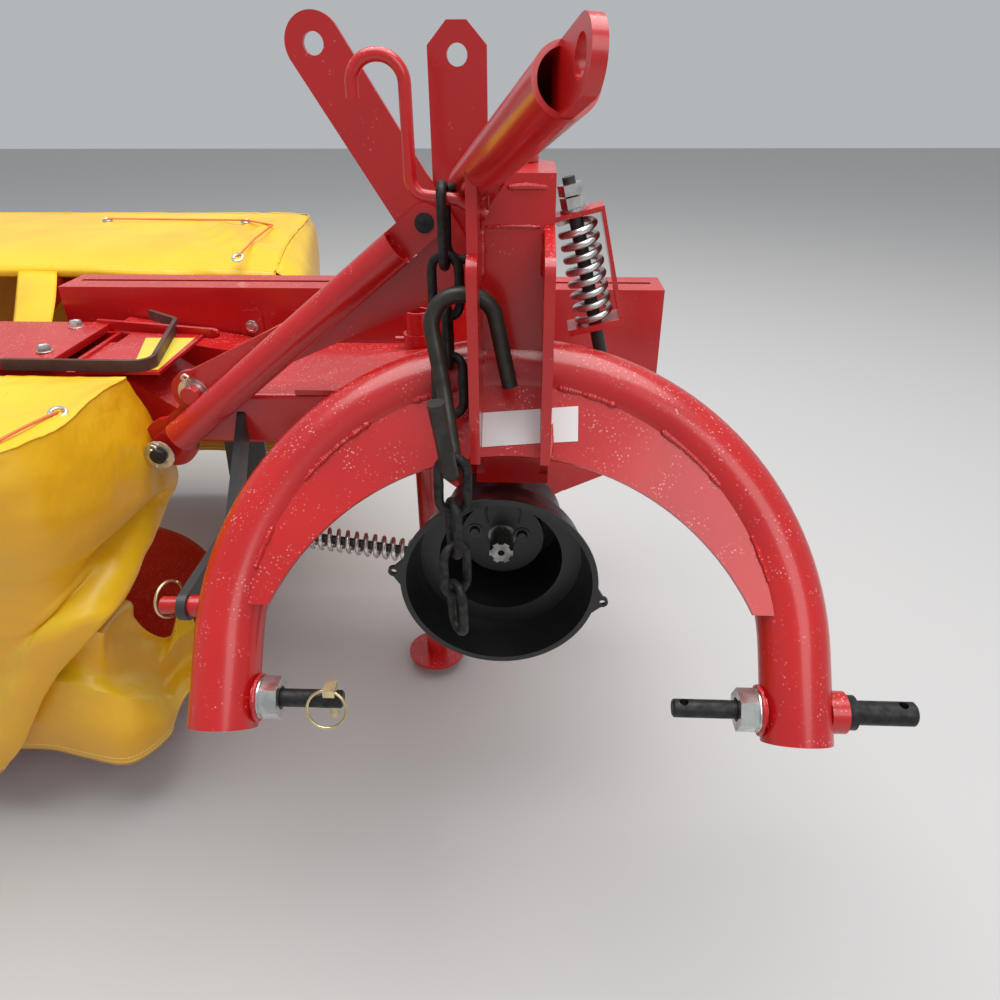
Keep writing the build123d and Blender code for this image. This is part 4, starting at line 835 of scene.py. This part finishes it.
forward = (0, -1, 0)
pinParts = (
    # name, shape, material, node that it rides with
    ("armPinEnd", pinEnd((-480, 367, 246), forward, 14.5, 13), "red", "arm_pin"),
    ("armPinSplit", splitPin((-480, 359, 252), (-0.1, 0, 1), 26), "zinc", "arm_pin"),
    ("hingePinWasher", washer((-538, 339, 158), forward, 12, 23, 2.4), "zinc", "hinge_bolt"),
    ("hingePinEnd", pinEnd((-538, 337, 158), forward, 12, 8), "pin", "hinge_bolt"),
    ("hingePinSplit", splitPin((-537, 332.5, 142), (-0.2, 0, 1), 34, 1.7), "zinc", "hinge_bolt"),
    ("strutRing", ringAt((-435, 88, 79), (0.95, -0.30, 0.10), 23.5, 1.6, 1.92, 0.4, 2.4), "gilt", "strut_pin"),
    ("strutPinEnd", pinEnd((-426, 94, 64), (-1, 0, 0), 11.5, 24), "red", "strut_pin"),
)
for name, shape, skin, carrier in pinParts:
    joined(name, [shape], skins[skin], bodyOf(carrier))

# Blank plates: the white one as two strips of x, lower and upper reach on the arch's plane
plateWhite = ((-35.6, 309.4, 352.6), (35.6, 315.4, 358.4), (48.4, 316.0, 359.6), (82.0, 318.3, 362.6))
archLean = math.radians(38)
archMiddle = 72
leanUp = (0, math.sin(archLean), math.cos(archLean))
plateOff = 30.3
plateFoot = np.array((0, -leanUp[2], leanUp[1])) * plateOff
sides = []
for (x0, low0, high0), (x1, low1, high1) in (plateWhite[:2], plateWhite[2:]):
    sides.append(slab([(x0, low0), (x1, low1), (x1, high1), (x0, high0)], 0.5, plateFoot, (1, 0, 0), leanUp))
joined("whitePlate", sides, skins["white"], "hitch")
yellowCorners = [(-604, 440), (-562, 440), (-566, 598), (-652, 596)]
joined("yellowPlate", [slab(yellowCorners, -0.5, (0, 0, 256.1), (1, 0, 0), (0, 1, 0))], skins["yellow"],
       bodyOf("hinge_cover"))
ribWay = Vector((245, -53, 0)).normalized()
ribOutline = [(0, 0), (240, 0), (247, 2), (250, 7), (250, 10), (247, 15), (240, 17), (0, 17)]
joined("coverRib", [slab(ribOutline, 8, (-771, 669, 250.5), ribWay, (0, 0, 1))], skins["red"], "cutter")

# Welds: beads with a ripple every few millimetres, over the seams
weldSet = {
    "ripple": 3.6,
    "rough": 0.07,
    "wander": 0.45,
    "step": 1.1,
}


def bead(line, radius, seed=0.0):
    line = through(line, 8) if len(line) < 12 else np.asarray(line, float)
    run = np.concatenate(((0,), np.linalg.norm(np.diff(line, axis=0), axis=1).cumsum()))
    spots = np.arange(0, run[-1], weldSet["step"])
    fine = np.stack([np.interp(spots, run, line[:, i]) for i in range(3)], -1)
    wander = np.array([noise.fractal(Vector((s / 14 + seed, seed, 0.3)), 0.9, 2.0, 3) for s in spots])
    ends = np.clip(np.minimum(spots, run[-1] - spots) / radius, 0.15, 1) ** 0.5
    ripple = weldSet["rough"] * np.sin(spots * 2 * math.pi / weldSet["ripple"])
    return tube(fine, radius * ends * (1.1 + ripple + weldSet["wander"] * wander), 8)


def onArch(angle, reach, off):
    # a point at this angle and reach from the arch's middle, off its plane; the plane leans back by archLean
    x = reach * math.cos(math.radians(angle))
    s = archMiddle + reach * math.sin(math.radians(angle))
    up, out = math.cos(archLean), math.sin(archLean)
    return (x, s * out - off * up, s * up + off * out)


# stretches of the seam between tube and gusset, in degrees round the arch
archSeams = ((100, 113), (123, 143), (155, 165), (66, 80), (37, 55), (14, 25))
seamReach, seamOff = 319, 30.5
beads = [bead([onArch(a, seamReach, seamOff) for a in np.linspace(a0, a1, 14)], 3.6, a0)
         for a0, a1 in archSeams]
beads += [bead([(x, 236, 506), (x, 236, 478), (x, 235, 452)], 3.0, x) for x in (-35.5, 35.5)]
beads += [bead([(-32, 235, 509), (0, 234, 510), (32, 235, 509)], 1.8, 4.4)]
beads += [bead([(40, 236, 551), (14, 235, 552.5), (-8, 236, 551)], 3.4, 2.2)]
beads += [bead([(-48.5, 150, 257), (-49, 166, 272), (-49, 180, 290)], 2.6, 1.2),
          bead([(48.5, 150, 257), (49, 166, 272), (49, 180, 290)], 2.6, 7.2)]
joined("mastWelds", beads, skins["red"], "hitch")
rings = []
legX, legRadius = 301.5, 27
for side in (-1, 1):
    ring = [(side * legX, legRadius * math.cos(a), legRadius * math.sin(a))
            for a in np.linspace(0, 2 * math.pi, 40)]
    rings.append(bead(ring, 2.4, side))
joined("legWelds", rings, skins["red"], "hitch")
footX, footY, footZ, footRadius = -172, 602, -470, 26
disc = [(footX + footRadius * math.cos(a), footY + footRadius * math.sin(a), footZ)
        for a in np.linspace(0, 2 * math.pi, 30)]
joined("footWeld", [bead(disc, 3.0, 5.0)], skins["red"], "stand")
print("welds laid")

# Eyelets, lacing and seams of the covers
frontLace = ((-614, 249, 266), (-640, 148, 266), (-770, 122, 265.5), (-1060, 122, 265.5), (-1350, 122, 265.5),
             (-1640, 122, 265.5), (-1930, 122, 265.5), (-2220, 122, 265.5))
rearLace = ((-2190, 1274, 338), (-1800, 1274, 338), (-1410, 1274, 338), (-1037, 1274, 338), (-681, 1254, 339),
            (-591, 1180, 341), (-582, 1020, 341), (-574, 884, 333))


def eyelet(spot, axis):
    profile = ((6.5, -1.6), (7.2, 1.2), (9.2, 2.3), (11.6, 1.6), (12.6, 0.1), (11.8, -1.6), (6.5, -1.6))
    return spun(profile, spot, axis, 28)


frontSpots = [(x, y, z - 1) for k, (x, y, z) in enumerate(frontLace) if k != 1]
frontEyes = joined("frontEyelets", [eyelet(p, (0.25, -0.35, 1)) for p in frontSpots], skins["zinc"],
                   "front_guard")
rearSpots = [((x, y, z - 3), (0, -0.2, 1)) for x, y, z in rearLace[:5]]
rearSpots.append(((-574, 882, 331), (0, -0.5, 0.87)))
rearEyes = joined("rearEyelets", [eyelet(p, axis) for p, axis in rearSpots], skins["zinc"], "cutter")


def lace(spots, sag):
    parts = []
    for a, b in zip(spots, spots[1:]):
        a, b = np.array(a, float), np.array(b, float)
        line = [a + (b - a) * t - np.array((0, 0, sag * math.sin(math.pi * t)))
                for t in np.linspace(0, 1, 12)]
        parts.append(tube(line, 2.1, 8))
    return parts


frontCord = joined("frontLacing", lace(frontLace, -1.5), skins["cord"], "front_guard")
# the rear cord runs under the cloth from its first to its second point and from its third to its fourth
rearCord = joined("rearLacing", lace(rearLace[1:3], 0) + lace(rearLace[3:], 0), skins["cord"], "cutter")


def seamBead(name, line, body):
    push = [noise.fractal(Vector(p) / 16.0, 0.9, 2.0, 3) for p in line]
    rough = line + np.array((0.5, 0, 1.0)) + np.stack((np.zeros(len(line)), push, push), -1) * 1.4
    return joined(name, [tube(rough, 1.5, 8)], skins["cloth"], body)


# the seams start past the left end's corner and stop short of the right end
frontRun, rearRun = slice(24, -9), slice(24, -3)
frontEdge = seamBead("frontSeam", frontSeam[frontRun], "front_guard")
rearEdge = seamBead("rearSeam", rearSeam[rearRun], "cutter")

# Two bolts and two ribs on the face inside the bell
boltSpots = [(x, 292, z) for x, z in ((-57, 62), (14, 56))]
parts = [washer(spot, forward, 8.5, 12, 1.6) for spot in boltSpots]
parts += [boltHead(spot, forward, 13, 7) for spot in boltSpots]
parts += [bead([(x - 3 * s, 291.5, 76), (x, 291.5, 90), (x - 2 * s, 291.5, 103)], 1.6, x)
          for x, s in ((-40, -1), (11, 1))]
joined("bellBolts", parts, skins["black"], bodyOf("bell_flange"))

print("hardware fitted")
